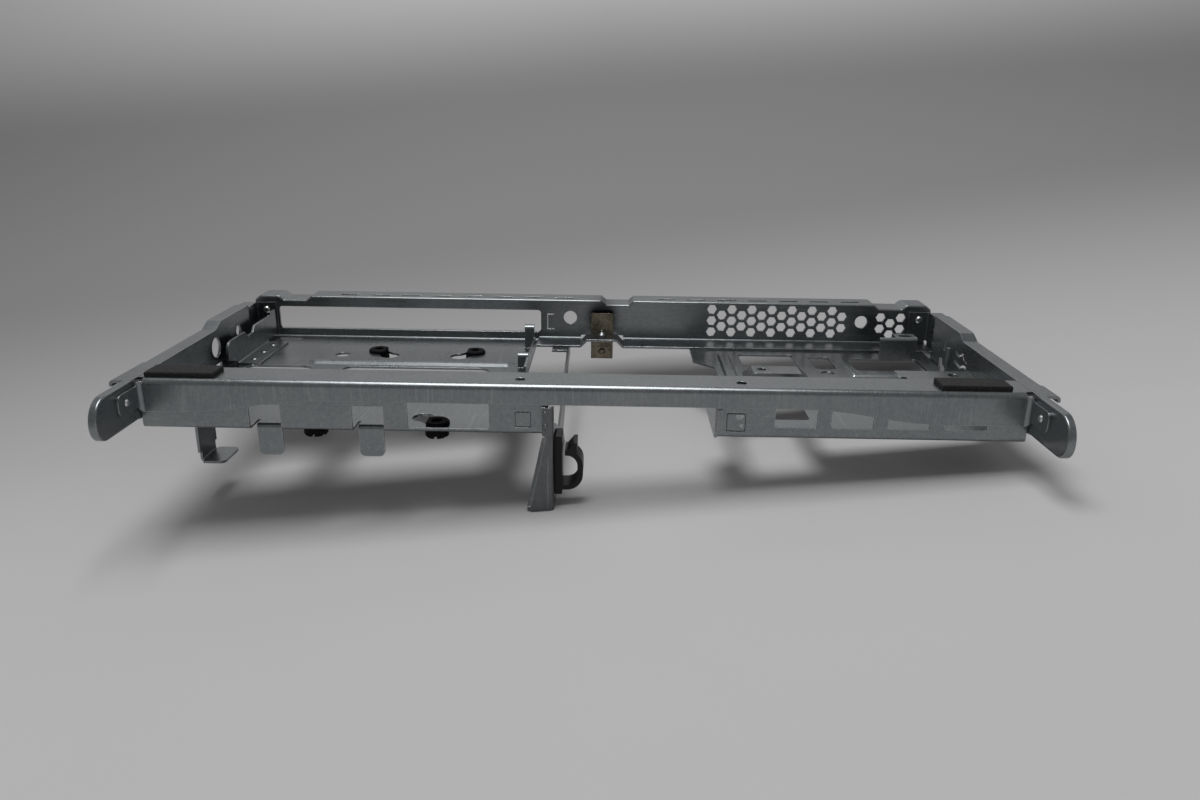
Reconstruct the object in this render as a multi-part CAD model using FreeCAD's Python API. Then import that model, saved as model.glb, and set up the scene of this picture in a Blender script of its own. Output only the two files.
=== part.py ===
import FreeCAD, Part
import math
import os

from collections import namedtuple
from FreeCAD import Vector

# Drive cage of a small desktop chassis: a ring of folded sheet steel with a drive tray,
# a side shelf, a hanging divider, rubber drive grommets and a cable clamp.
# Millimetres, +X right, +Y back, +Z up. Y = 0 is the rail's front face, Z = 0 the feet.

Stud = namedtuple("Stud", "shank head rise")  # radii of a rivet and the rise of its head

# Sheet stock and fits
SHEET = 1.0  # thickness of the steel
BEND = 0.6  # inside radius of an ordinary fold
SIDE_GAP = 0.3  # between edges that lie side by side
OVERCUT = 5.0  # how far a cutting body runs past what it cuts
HAIR = 1e-6  # places closer than this count as one

# Levels: the tray's is above the feet, those named _UP are above the tray's upper face
TRAY_TOP = 30.5  # upper face of the tray and the shelf
RAIL_UP = 17.7  # upper face of the front rail
REAR_UP = 19.6  # upper face of the rear wall's flange

# Depths and widths of the ring, where sizes named _IN are inward from the arm or rear wall
REAR_FACE = 130.0  # front face of the rear wall
ARM_INSIDE = 158.0  # from the middle to an arm's inner face, at the front
ARM_JOGGLE = 5.0  # how far an arm steps out before the rear wall
JOGGLE_IN = 24.0  # where that step begins
JOGGLE_RUN = 9.0  # length of that step

# Front rail
RAIL_DEPTH = 15.5  # top flange, front to back
RAIL_FACE_MID = 7.2  # height of the front face in the middle
RAIL_FACE_END = 12.2  # height of the front face at the ends
RAIL_NOSE = 1.2  # inside radius of the front upper fold
RAIL_TURN = 1.5  # inside radius where an end turns forward
RAIL_TAB = 14.0  # reach of that end along the ear
RAIL_TAB_HEIGHT = 7.6
RAIL_TAB_ROUND = 2.5
RAIL_RELIEF = 2.4  # notch between the top flange and the turned end
ARCH_LEFT_IN = -90.0  # where the arched lower edge starts and ends its rise
ARCH_LEFT_OUT = -146.0
ARCH_RIGHT_IN = 74.0
ARCH_RIGHT_OUT = 132.0
RAIL_HOLE_R = 1.9
RAIL_HOLE_LEFT = -22.4
RAIL_HOLE_RIGHT = 56.7
RAIL_HOLE_BACK = 7.0

# Foam pads on the rail
PAD_WIDTH = 24.6
PAD_DEPTH = 9.9
PAD_THICK = 1.8
PAD_BACK = 2.6  # from the rail's front face
PAD_LEFT_IN = 2.3  # from the left arm to the left pad
PAD_RIGHT_IN = 6.8  # from the right arm to the right pad
PAD_ROUND = 0.6

# Arms and ears
ARM_LOW_UP = -1.0  # lower edge of the arms behind the rail
EAR_LOW_UP = 2.6  # lower edge of the ears and of the arms' rear folds
ARM_STEP = 5.0  # where the lower edge steps down from the ear
ARM_REAR_UP = 16.5  # upper edge of the arms at the rear wall
ARM_FLANGE = 5.0  # width of the outward top flange
ARM_SOFT = 3.0  # inside radius of the bends in that flange
ARM_REAR_TAB = 9.5  # width of the fold that meets the rear wall
HUMP_RISE = 2.6  # raised stretch of the arm above the rail
HUMP_FRONT_IN = 54.5  # its level part, from the rear wall
HUMP_BACK_IN = 24.0
HUMP_FRONT_RUN = 6.0
HUMP_BACK_RUN = 10.0
EAR_REACH = 27.0  # from the rail's front face to the ear's tip
EAR_TOP_ROUND = 8.6
EAR_LOW_ROUND = 6.2
EAR_LIP = 2.6  # depth of the drawn rim
EAR_RIM_ROUND = 0.8
FRONT_TAB_WIDTH = 7.0  # wide end of the top flange beside the rail
FRONT_TAB_CURL = 2.4
FRONT_TAB_START = -2.0
LEFT_TAB_LENGTH = 22.0
RIGHT_TAB_LENGTH = 12.0

# Left arm's own features
SIGHT_HOLE_R = 4.3
SIGHT_HOLE_IN = 62.1
SIGHT_HOLE_UP = 10.4
SIDE_PORT_IN = 37.6
SIDE_PORT_UP = 11.6
SIDE_PORT_FLATS = 5.0
FOOT_NOTCH_IN = 64.5  # notch in the lower edge
FOOT_NOTCH_WIDTH = 6.0
FOOT_NOTCH_UP = 3.3

# Right arm's own features
PERCH_UP = 7.0  # upper face of the inward tab
PERCH_REACH = 30.0  # from the arm to its inner end
PERCH_FRONT = 50.0
PERCH_DEPTH = 12.0
PERCH_NOSE = 2.2  # notch at the inner front corner, across and deep
PERCH_NOSE_DEEP = 3.0
PERCH_HOLE_R = 2.1
PERCH_HOLE_IN = 7.6
PERCH_HOLE_BACK = 56.4
ARM_SLOT_IN = 41.3
ARM_SLOT_WIDTH = 1.5
ARM_SLOT_LOW_UP = 8.3
ARM_SLOT_HIGH_UP = 12.9
ZIGZAG_WIDTH = 1.2  # zigzag slots above and below a tongue
ZIGZAG_HIGH = ((53.9, 11.5), (58.1, 10.7), (61.1, 12.7), (64.4, 10.9), (66.8, 10.3))  # in, up
ZIGZAG_LOW = ((53.9, 7.6), (60.1, 6.4), (63.5, 8.0), (66.8, 7.8))
FINGER_IN = 45.5  # middle of a half-round rib on the arm's inner face
FINGER_WIDTH = 2.6
FINGER_PROUD = 1.1
FINGER_LOW_UP = 2.0
FINGER_HIGH_UP = 11.0
FINGER_PORT = ((35.6, 3.9), (38.5, 4.4), (40.5, 1.8), (43.5, 1.6), (43.5, -4.0), (35.6, -4.0))  # in, up

# Rear wall
WALL_FOOT = 15.0  # bottom flange, towards the front
WALL_FLANGE = 12.5  # top flange, towards the back
STEP_DROP = 2.0  # lowered stretches of the top flange
STEP_SLOPE = 2.4
STEP_WIDTH = 11.0
STEP_IN = 19.5  # from the wall's ends to the middles of the outer ones
STEP_MIDDLE = 12.5  # middle of the third
WALL_NOSE = 0.8  # outer rounding of the wall's upper front edge
BAY_IN = 11.3  # long window for a slim drive's face, from the wall's left end
BAY_RIGHT = -24.6
BAY_LOW_UP = 3.7
BAY_HIGH_UP = 14.4
BAY_ROUND = 1.5
SLOT_LENGTH = 9.0
SLOT_WIDTH = 2.2
SLOT_PITCH = 15.0
SLOT_BACK = 5.0  # from the wall's front face
SLOTS_LEFT = -118.5
SLOTS_LEFT_COUNT = 8
SLOTS_RIGHT = 36.0
SLOTS_RIGHT_COUNT = 7
PORT_X = -10.3
PORT_R = 3.25
PORT_UP = 11.0
GAUGE_IN = 33.0
GAUGE_R = 3.0
LANCE_X = -19.8
LANCE_WIDTH = 3.4
LANCE_HEIGHT = 7.6
LANCE_UP = 9.0
LANCE_CUT = 0.3
HEX_IN = 105.5  # first column of the vent field, from the wall's right end
HEX_COLUMNS = 14
HEX_PITCH = 5.6
HEX_FLATS = 4.1
HEX_UP = 10.6
CLUSTER_IN = 23.7  # small group of vents, from the wall's right end

# Strap and spring clip in the middle of the rear wall
STRAP_LEFT = -5.0
STRAP_RIGHT = 15.6
STRAP_RISE = 3.0
STRAP_SLOPE = 3.0
STRAP_GAP = 4.0  # between the strap and the wall
STRAP_NOTCH = 1.4  # rise of the notch in the wall behind the strap
CLIP_SHEET = 0.5
CLIP_WIDTH = 10.6
CLIP_UP = 10.2  # leaf above the strap's top
CLIP_DOWN = 12.3  # leaf below the strap's top
CLIP_ROUND = 1.0  # upper corners of the leaf
CLIP_SEAT_WIDTH = 8.0  # tab under the strap
CLIP_SEAT_REACH = 9.0
CLIP_SLOT_WIDTH = 5.0
CLIP_SLOT_HEIGHT = 0.6
CLIP_SLOT_DOWN = 6.4  # below the strap's top
CLIP_BOSS_R = 1.8
CLIP_BOSS_DOWN = 8.6
SCREW_R = 1.1
SCREW_HEAD_R = 1.9
SCREW_CROWN_R = 0.75
SCREW_HEAD = 2.4
SCREW_LENGTH = 1.7
SCREW_TIP = 0.8

# Drive tray
TRAY_RIGHT = -26.0  # right edge behind the front strip
FRONT_STRIP = 27.0
UPSTAND_ROOM = 1.3  # below the rail's top flange
CUT_FRONT = 48.0  # front edge of the two cut-outs
CUT_ROUND = 4.5
CUT_A_IN = 8.2  # left cut-out, from the tray's left edge
CUT_A_RIGHT = -119.0
CUT_A_GAP = 2.7  # from its rear edge to the bead or to the guide's first rivet
CUT_A_ROUND = 7.0
CUT_B_LEFT = -107.0
CUT_B_RIGHT = -43.0
CUT_B_GAP = 2.2  # from its rear edge to the bead
BEAD_LEFT = -124.5  # stiffening bead across the tray
BEAD_RIGHT = -33.0
BEAD_AHEAD = 15.15  # from the drive's rear holes to its rear edge
BEAD_WIDTH = 7.0
BEAD_RISE = 1.2
BEAD_SLOPE = 2.5
BEAD_ROUND = 3.45
BEAD_SOFT = 3.0  # radius along its crown
LOCATOR_X = -113.0
LOCATOR_AHEAD = 6.25  # from the drive's rear holes
LOCATOR_R = 3.4
PASS_LEFT = -151.5  # slot in the tray's rear corner
PASS_RIGHT = -140.2
PASS_IN = 9.2
PASS_WIDTH = 3.4
EDGE_HEIGHT = 5.0  # upstand on the tray's right edge
EDGE_FRONT = 66.0
EDGE_GAP = 1.0  # from the rear wall's foot
EDGE_EAR_REACH = 5.0  # ears turned in from that upstand
EDGE_EAR_FOLD = 2.5
FRONT_EAR_IN = 50.0
FRONT_EAR_UP = 6.4
REAR_EAR_UP = 10.8
HOOK_FRONT = 38.5  # hook that hangs from the tray's left edge
HOOK_WIDTH = 16.0
HOOK_FOOT = 10.5  # inward reach of its foot
HOOK_NOTCH = 1.6
HOOK_NOTCH_HIGH = 4.5
HOOK_FOOT_ROUND = 2.5

# Bottom hole pattern of a 3.5-inch drive
DRIVE_HOLES_X = 44.45
DRIVE_HOLES_Y = 95.25
DRIVE_MIDDLE = -75.4
DRIVE_FRONT = 7.6

# Rubber grommets and their keyholes
GROMMET_BORE = 2.0
GROMMET_WAIST = 3.2
GROMMET_TOP_R = 4.7
GROMMET_TOP = 1.4
GROMMET_CHAMFER = 0.5
GROMMET_LOW_R = 4.3
GROMMET_LOW = 3.6
GROMMET_NOTCH = 1.3  # crossing notches in the lower end
GROMMET_NOTCH_DEEP = 1.1
GROMMET_NOTCH_TURNS = (30, 90, 150)
GROMMET_FLAT = 3.4  # from the bore to the flat side
KEYHOLE_ACROSS = 6.2  # from the seat to the keyhole's wide end
KEYHOLE_ALONG = 6.4
KEYHOLE_R = 4.2

# Front upstands
TONGUE_A = -113.6  # middles of the hanging tongues
TONGUE_B = -76.6
TONGUE_WIDTH = 9.0
TONGUE_DROP = 12.0
TONGUE_FRONT = 4.5
TONGUE_ROOT = 9.0
TONGUE_ROUND = 2.0
TONGUE_PORT_UP = 8.5
TONGUE_PORT_MARGIN = 1.2
WINDOW_LEFT = -62.4
WINDOW_RIGHT = -33.2
WINDOW_LOW_UP = 0.7
WINDOW_HIGH_UP = 12.8
SQUARE_LEFT = -24.0
SQUARE_SIZE = 6.0
SQUARE_UP = 1.6
CORNER_ROUND = 0.6

# Side shelf
SHELF_LEFT = 47.2
SHELF_WAIST_LEFT = 56.2
SHELF_WAIST_FRONT = 30.0
SHELF_WAIST_IN = 44.0
SHELF_CORNER_IN = 34.0
GUSSET_TOP = 20.0
GUSSET_LOW = 4.0
LIGHT_FIRST = 68.5  # left edge of the first of four slots in the upstand
LIGHT_COUNT = 4
LIGHT_PITCH = 20.0
LIGHT_WIDTH = 15.0
LIGHT_LOW_UP = 3.1
LIGHT_HIGH_UP = 10.4
RECESS_LEFT = 51.2
RECESS_SIZE = 7.0
RECESS_UP = 1.4
RECESS_DEEP = 0.6  # groove around a square
RECESS_GROOVE = 0.45
RECESS_PORT_LONG = 3.0
RECESS_PORT_HIGH = 1.7
RECESS_PIN_LONG = 1.6
RECESS_PIN_HIGH = 1.0
RECESS_PIN_UP = 3.2
SHELF_CUT_A = (69.0, 94.0, 43.0, 22.0)  # left, right, then front and back from the rear wall
SHELF_CUT_B = (101.0, 110.5, 44.0, 25.0)
SHELF_CUT_C = (118.5, 150.5, 45.5, 26.5)
SHELF_CUT_D = (61.0, 85.0, 111.6, 70.0)
SHELF_CUT_E = (91.0, 153.0, 96.0, 70.0)
SHELF_CUTS = (SHELF_CUT_A, SHELF_CUT_B, SHELF_CUT_C, SHELF_CUT_D, SHELF_CUT_E)
SHELF_RIB_IN = 1.0  # upright rib at the left end of the upstand
SHELF_RIB_WIDTH = 1.6
SHELF_RIB_PROUD = 0.5
SHELF_CUT_ROUND = 2.0
RIDGE_LONG = (59.0, 64.6, 64.0, 24.0)  # low ridges, measured as the openings are
RIDGE_SIDE = (114.4, 117.2, 54.0, 24.0)
RIDGE_FRONT = (114.4, 152.0, 55.4, 52.6)
RIDGES = (RIDGE_LONG, RIDGE_SIDE, RIDGE_FRONT)
RIDGE_RISE = 0.8
RIDGE_SLOPE = 0.9
RIDGE_ROUND = 1.2
BRIDGE_LEFT = 67.0
BRIDGE_RIGHT = 95.0
BRIDGE_RISE = 3.4
BRIDGE_SLOPE = 4.0
BRIDGE_IN = 63.0
BRIDGE_DEPTH = 11.0
BRIDGE_HOLE_X = 74.7
BRIDGE_HOLE_R = 2.0
DIMPLE_X = 105.0
DIMPLE_IN = 50.0
DIMPLE_R = 2.85
SLIT_LEFT = 99.5
SLIT_RIGHT = 110.5
SLIT_IN = 59.0
SLIT_WIDTH = 2.4
POST_LEFT = 133.5  # bent-up tab behind the large shelf opening
POST_WIDTH = 17.0
POST_IN = 26.5
POST_HEIGHT = 10.2
POST_LEDGE = 8.0
POST_LEDGE_IN = 7.3  # from the tab's left side to the ledge
POST_SLOT_LENGTH = 6.0
POST_SLOT_WIDTH = 3.0

# Guide bracket beside the tray
GUIDE_IN = 4.5  # from the arm to the inner face of its upright
GUIDE_TOP_UP = 12.2
GUIDE_NOSE_UP = 4.4
GUIDE_NOSE = 8.5  # reach of the upright in front of its foot
GUIDE_NOSE_ROUND = 4.0
GUIDE_FOOT = 9.5
GUIDE_FOOT_LENGTH = 36.5
GUIDE_FOOT_GAP = 1.0  # from the front of the rear wall's foot
GUIDE_BACK_IN = 4.0
GUIDE_NOTCH_IN = 42.0
GUIDE_NOTCH_WIDTH = 12.0
GUIDE_NOTCH_DEEP = 2.6
GUIDE_HORN = 6.0
GUIDE_HORN_RISE = 1.6

# Hanging divider, its levels above the feet
DIVIDER_X = -10.0  # right face of the plate
DIVIDER_TOP_UP = 9.5
DIVIDER_HEAD = 4.3  # width of the front strip over the tray's upstand
DIVIDER_NECK = 2.9  # width just below the tray
DIVIDER_STRIP = 8.7  # width at the feet
DIVIDER_FOOT = 9.0
DIVIDER_FOOT_LENGTH = 73.0
DIVIDER_KNEE_BACK = 62.0
DIVIDER_KNEE = 8.5
DIVIDER_DIP_BACK = 38.0
DIVIDER_DIP_DROP = 12.0  # below the tray's upper face
DIVIDER_TAB_IN = 6.0  # rear end of the tab under the rear wall's foot
DIVIDER_TAB_LENGTH = 14.0
DIVIDER_TAB_WIDTH = 8.0
DIVIDER_STRUT = 6.0

# Cable clamp on the divider, its levels above the feet
CLAMP_FRONT = 3.0
CLAMP_WIDTH = 9.0
CLAMP_BASE = 2.8
CLAMP_LOW = 5.4
CLAMP_HIGH = 28.0
LOOP_LOW = 7.2
LOOP_HIGH = 22.6
LOOP_REACH = 7.6
LOOP_ROUND = 6.0
LOOP_WALL = 1.9
LOOP_SIDE = 2.0
LATCH_RISE = 3.0
LATCH_FOOT = 4.4
LATCH_TIP = 1.2

# Rivets
RIVET = Stud(1.1, 1.7, 0.6)
EAR_RIVET = Stud(0.9, 1.35, 0.6)
GUIDE_RIVET = Stud(1.2, 1.8, 0.4)
SMALL_RIVET = Stud(0.7, 1.1, 0.3)
EAR_RIVET_BACK = -8.5
EAR_RIVET_UP = 11.6
CORNER_RIVET_INSET = 4.4
CORNER_RIVET_UP = 12.8
GUIDE_RIVET_INSET = 6.5
GUIDE_RIVET_COUNT = 3
DIVIDER_RIVET_UP = 2.2
DIVIDER_RIVET_PITCH = 4.8

# Places that follow from those above
TRAY_LOW = TRAY_TOP - SHEET
WALL_FOOT_TOP = TRAY_TOP + SHEET
RAIL_TOP = TRAY_TOP + RAIL_UP
REAR_TOP = TRAY_TOP + REAR_UP
HUMP_TOP = RAIL_TOP + HUMP_RISE
ARM_LOW = TRAY_TOP + ARM_LOW_UP
EAR_LOW = TRAY_TOP + EAR_LOW_UP
ARM_REAR_TOP = TRAY_TOP + ARM_REAR_UP
STRAP_TOP = WALL_FOOT_TOP + STRAP_RISE
UPSTAND_TOP = RAIL_TOP - SHEET - UPSTAND_ROOM
UPSTAND_BACK = 2 * SHEET
HUMP_FRONT = REAR_FACE - HUMP_FRONT_IN
HUMP_BACK = REAR_FACE - HUMP_BACK_IN
WALL_FRONT = REAR_FACE - WALL_FOOT
TRAY_BACK = REAR_FACE - SIDE_GAP
ARM_REAR_INSIDE = ARM_INSIDE + ARM_JOGGLE
JOGGLE_START = REAR_FACE - JOGGLE_IN
JOGGLE_END = JOGGLE_START + JOGGLE_RUN
WALL_HALF = ARM_REAR_INSIDE + SHEET
FOOT_RIGHT = ARM_REAR_INSIDE - SIDE_GAP
FOOT_LEFT = TRAY_RIGHT + SIDE_GAP
BAY_LOW = TRAY_TOP + BAY_LOW_UP
REAR_FOLD = REAR_FACE - 2 * SHEET - BEND
SHELF_RIGHT = ARM_INSIDE - SIDE_GAP
TRAY_LEFT = -SHELF_RIGHT
TRAY_FRONT_RIGHT = DIVIDER_X - SHEET - BEND - SIDE_GAP
PAD_LEFT = -ARM_INSIDE + PAD_LEFT_IN
PAD_RIGHT = ARM_INSIDE - PAD_RIGHT_IN - PAD_WIDTH
STRAP_MIDDLE = (STRAP_LEFT + STRAP_RIGHT) / 2
GUIDE_X = -ARM_INSIDE + GUIDE_IN
GUIDE_BACK = REAR_FACE - GUIDE_BACK_IN
GUIDE_FOOT_BACK = WALL_FRONT - GUIDE_FOOT_GAP
GUIDE_FOOT_FRONT = GUIDE_FOOT_BACK - GUIDE_FOOT_LENGTH
GUIDE_FRONT = GUIDE_FOOT_FRONT - GUIDE_NOSE
GUIDE_RIVET_FIRST = GUIDE_FOOT_FRONT + GUIDE_RIVET_INSET
GUIDE_TOP = TRAY_TOP + GUIDE_TOP_UP
DIVIDER_TOP = TRAY_TOP + DIVIDER_TOP_UP
DIVIDER_TAB_BACK = REAR_FACE - DIVIDER_TAB_IN
DRIVE_REAR = DRIVE_FRONT + DRIVE_HOLES_Y
BEAD_BACK = DRIVE_REAR - BEAD_AHEAD
BEAD_FRONT = BEAD_BACK - BEAD_WIDTH
CUT_A_BACK = min(BEAD_FRONT, GUIDE_RIVET_FIRST) - CUT_A_GAP
CUT_B_BACK = BEAD_FRONT - CUT_B_GAP
MIDDLE_Y = (REAR_FACE + WALL_FLANGE - EAR_REACH) / 2

UP = Vector(0, 0, 1)
BACK = Vector(0, 1, 0)
RIGHT = Vector(1, 0, 0)


def on_xy(z):
    """Place plan points (x, y) at the level z."""
    return lambda point: Vector(point.x, point.y, z)


def on_xz(y):
    """Place front-view points (x, z) at the depth y."""
    return lambda point: Vector(point.x, y, point.y)


def on_yz(x):
    """Place side-view points (y, z) at the width x."""
    return lambda point: Vector(x, point.x, point.y)


def outline(points, place):
    """Closed wire through (a, b) or (a, b, radius) points, rounded where a radius is given."""
    corners = [Vector(point[0], point[1], 0) for point in points]
    radii = [point[2] if len(point) > 2 else 0.0 for point in points]
    stops = []
    for index, corner in enumerate(corners):
        back = (corners[index - 1] - corner).normalize()
        ahead = (corners[(index + 1) % len(corners)] - corner).normalize()
        half = back.getAngle(ahead) / 2
        reach = radii[index] / math.tan(half)
        inward = back + ahead
        if inward.Length > 0:
            inward.normalize()
        crown = corner + inward * (radii[index] * (1 / math.sin(half) - 1))
        stops.append((corner + back * reach, crown, corner + ahead * reach))
    edges = []
    for index, (start, crown, end) in enumerate(stops):
        if radii[index] > 0:
            edges.append(Part.Arc(place(start), place(crown), place(end)).toShape())
        following = stops[(index + 1) % len(stops)][0]
        if (following - end).Length > HAIR:
            edges.append(Part.LineSegment(place(end), place(following)).toShape())
    return Part.Wire(edges)


def slab(points, place, along):
    """Solid of an outline pushed along a vector."""
    return Part.Face(outline(points, place)).extrude(along)


def bend_points(path, bend):
    """One face of a folded sheet as outline points, with the radius of each of its folds."""
    last = len(path) - 1
    points = []
    for index, (a, b) in enumerate(path):
        if index in (0, last):
            points.append((a, b))
            continue
        before = (a - path[index - 1][0], b - path[index - 1][1])
        after = (path[index + 1][0] - a, path[index + 1][1] - b)
        turns_left = before[0] * after[1] > before[1] * after[0]
        points.append((a, b, bend if turns_left else bend + SHEET))
    return points


def folded(path, place, along, bend=BEND, sheet=SHEET):
    """Folded sheet: the path is one face, its thickness lies on the path's right."""
    points = [Vector(a, b, 0) for a, b in path]
    runs = [(q - p).normalize() for p, q in zip(points, points[1:])]
    sides = [Vector(run.y, -run.x, 0) for run in runs]
    near = []
    far = []
    last = len(points) - 1
    for index, point in enumerate(points):
        before = sides[max(index - 1, 0)]
        after = sides[min(index, last - 1)]
        shift = (before + after) * (sheet / (1 + before.dot(after)))
        edge = point + shift
        if index in (0, last):
            near.append((point.x, point.y))
            far.append((edge.x, edge.y))
            continue
        turns_left = runs[index - 1].cross(runs[index]).z > 0
        near.append((point.x, point.y, bend if turns_left else bend + sheet))
        far.append((edge.x, edge.y, bend + sheet if turns_left else bend))
    return slab(near + far[::-1], place, along)


def block(x_span, y_span, z_span):
    """Box between pairs of limits along X, Y and Z."""
    low = Vector(x_span[0], y_span[0], z_span[0])
    return Part.makeBox(x_span[1] - x_span[0], y_span[1] - y_span[0], z_span[1] - z_span[0], low)


def rod(radius, start, along):
    """Cylinder from a point along a vector."""
    return Part.makeCylinder(radius, along.Length, start, along)


def rectangle(left, right, low, high, radius):
    """Outline points of a rectangle with rounded corners."""
    return [(left, low, radius), (right, low, radius), (right, high, radius), (left, high, radius)]


def hexagon(middle_a, middle_b, flats):
    """Outline points of a hexagon with flat top and bottom."""
    reach = flats / math.sqrt(3)
    turns = [math.radians(60 * step) for step in range(6)]
    return [(middle_a + reach * math.cos(turn), middle_b + reach * math.sin(turn)) for turn in turns]


def well(points, low, high):
    """Upright cutting body of a plan outline, run past both faces."""
    return slab(points, on_xy(low - OVERCUT), UP * (high - low + 2 * OVERCUT))


def mirrored(shape):
    """Copy of a shape on the other side of the middle plane."""
    return shape.mirror(Vector(0, 0, 0), RIGHT)


def raised(sheet_body, base, crown, rise, soft=0):
    """Emboss a sheet lying at tray level from a base outline up to a crown, its rim softened."""
    lower = outline(base, on_xy(TRAY_TOP))
    upper = outline(crown, on_xy(TRAY_TOP + rise))
    hill = Part.makeLoft([lower, upper], True, True)
    if soft:
        rim = [edge for edge in hill.Edges if edge.BoundBox.ZMin > TRAY_TOP + rise / 2]
        hill = hill.makeFillet(soft, rim)
    hollow = hill.translated(UP * -SHEET)
    return sheet_body.fuse(hill).cut(hollow)


def rivet(start, along, stud=RIVET):
    """Rivet through a stack: a domed head before the start, a flat head past the end."""
    axis = Vector(along).normalize()
    shank = rod(stud.shank, start, along)
    dome = Part.makeCone(stud.head, stud.shank, stud.rise, start, axis * -1)
    foot = rod(stud.head, start + along, axis * (stud.rise / 2))
    return shank.fuse([dome, foot]).removeSplitter()


def rivet_hole(start, along, stud=RIVET):
    """Hole for a rivet's shank through a stack of sheets."""
    return rod(stud.shank, start, along)


# Places of the rivets: the start and the run through the stack
def ear_rivet_line():
    """Right ear rivet, from the rail's turned end out through the ear."""
    start = Vector(ARM_INSIDE - SHEET, EAR_RIVET_BACK, TRAY_TOP + EAR_RIVET_UP)
    return start, RIGHT * (2 * SHEET), EAR_RIVET


def corner_rivet_line():
    """Right rear corner rivet, from the arm's fold back through the rear wall."""
    x = ARM_REAR_INSIDE - CORNER_RIVET_INSET
    return Vector(x, REAR_FACE - SHEET, TRAY_TOP + CORNER_RIVET_UP), BACK * (2 * SHEET)


def guide_rivet_lines():
    """Rivets from the guide bracket's foot down through the tray."""
    x = GUIDE_X + GUIDE_FOOT / 2
    pitch = (GUIDE_FOOT_BACK - GUIDE_RIVET_INSET - GUIDE_RIVET_FIRST) / (GUIDE_RIVET_COUNT - 1)
    ys = [GUIDE_RIVET_FIRST + pitch * step for step in range(GUIDE_RIVET_COUNT)]
    return [(Vector(x, y, TRAY_TOP + SHEET), UP * (-2 * SHEET), GUIDE_RIVET) for y in ys]


def divider_rivet_lines():
    """Small rivets from the divider's front strip back through the tray's upstand."""
    x = (DIVIDER_X - DIVIDER_HEAD + TRAY_FRONT_RIGHT) / 2
    low = TRAY_TOP + DIVIDER_RIVET_UP
    ups = (low, low + DIVIDER_RIVET_PITCH)
    return [(Vector(x, 0, up), BACK * (2 * SHEET), SMALL_RIVET) for up in ups]


def front_rail():
    """Angle rail with an arched lower edge and ends turned forward along the ears."""
    low = RAIL_TOP - RAIL_FACE_END
    half = ARM_INSIDE - SHEET - RAIL_TURN
    section = [(0, low), (0, RAIL_TOP), (RAIL_DEPTH, RAIL_TOP)]
    rail = folded(section, on_yz(-half), RIGHT * (2 * half), RAIL_NOSE)

    inner = ARM_INSIDE - SHEET
    turn_path = [(inner, -RAIL_TAB), (inner, 0), (half, 0)]
    turn = folded(turn_path, on_xy(low), UP * (RAIL_FACE_END - SHEET), RAIL_TURN)
    tab_middle = TRAY_TOP + EAR_RIVET_UP
    tab_low = tab_middle - RAIL_TAB_HEIGHT / 2
    tab_high = tab_middle + RAIL_TAB_HEIGHT / 2
    tab_root = -RAIL_TURN
    side = [
        (-RAIL_TAB, tab_low, RAIL_TAB_ROUND),
        (tab_root, tab_low),
        (0, low),
        (OVERCUT, low),
        (OVERCUT, RAIL_TOP),
        (0, RAIL_TOP),
        (tab_root, tab_high),
        (-RAIL_TAB, tab_high, RAIL_TAB_ROUND),
    ]
    turn = turn.common(slab(side, on_yz(half - OVERCUT), RIGHT * (ARM_INSIDE - half + 2 * OVERCUT)))
    turn = turn.cut(rivet_hole(*ear_rivet_line()))
    wing = block(
        (half, ARM_INSIDE - SIDE_GAP), (RAIL_RELIEF, RAIL_DEPTH), (RAIL_TOP - SHEET, RAIL_TOP)
    )
    rail = rail.fuse([turn, wing, mirrored(turn), mirrored(wing)])

    arch_top = RAIL_TOP - RAIL_FACE_MID
    holes = [rail_arch(low, arch_top)]
    for x in (RAIL_HOLE_LEFT, RAIL_HOLE_RIGHT):
        start = Vector(x, RAIL_HOLE_BACK, RAIL_TOP - SHEET - OVERCUT)
        holes.append(rod(RAIL_HOLE_R, start, UP * (SHEET + 2 * OVERCUT)))
    return rail.cut(holes).removeSplitter()


def rail_arch(low, high):
    """Cutting body under the rail's arched lower edge, with a smooth rise at each end."""
    place = on_xz(-OVERCUT)

    def rise(outer, inner):
        middle = (outer + inner) / 2
        poles = [(outer, low), (middle, low), (middle, high), (inner, high)]
        curve = Part.BezierCurve()
        curve.setPoles([place(Vector(x, z, 0)) for x, z in poles])
        return curve.toShape()

    def line(start, end):
        return Part.LineSegment(place(Vector(*start, 0)), place(Vector(*end, 0))).toShape()

    below = low - OVERCUT
    edges = [
        rise(ARCH_LEFT_OUT, ARCH_LEFT_IN),
        line((ARCH_LEFT_IN, high), (ARCH_RIGHT_IN, high)),
        rise(ARCH_RIGHT_OUT, ARCH_RIGHT_IN),
        line((ARCH_RIGHT_OUT, low), (ARCH_RIGHT_OUT, below)),
        line((ARCH_RIGHT_OUT, below), (ARCH_LEFT_OUT, below)),
        line((ARCH_LEFT_OUT, below), (ARCH_LEFT_OUT, low)),
    ]
    wire = Part.Wire(Part.__sortEdges__(edges))
    return Part.Face(wire).extrude(BACK * (2 * OVERCUT))


def foam_pad(left):
    """Self-adhesive foam strip on the rail's top flange."""
    plan = rectangle(left, left + PAD_WIDTH, PAD_BACK, PAD_BACK + PAD_DEPTH, PAD_ROUND)
    return slab(plan, on_xy(RAIL_TOP), UP * PAD_THICK)


def ear_outline(inset):
    """Side view of an ear, drawn in by an inset."""
    tip = -EAR_REACH + inset
    low = EAR_LOW + inset
    high = RAIL_TOP - inset
    return [
        (0, low),
        (tip, low, EAR_LOW_ROUND - inset),
        (tip, high, EAR_TOP_ROUND - inset),
        (0, high),
    ]


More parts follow.
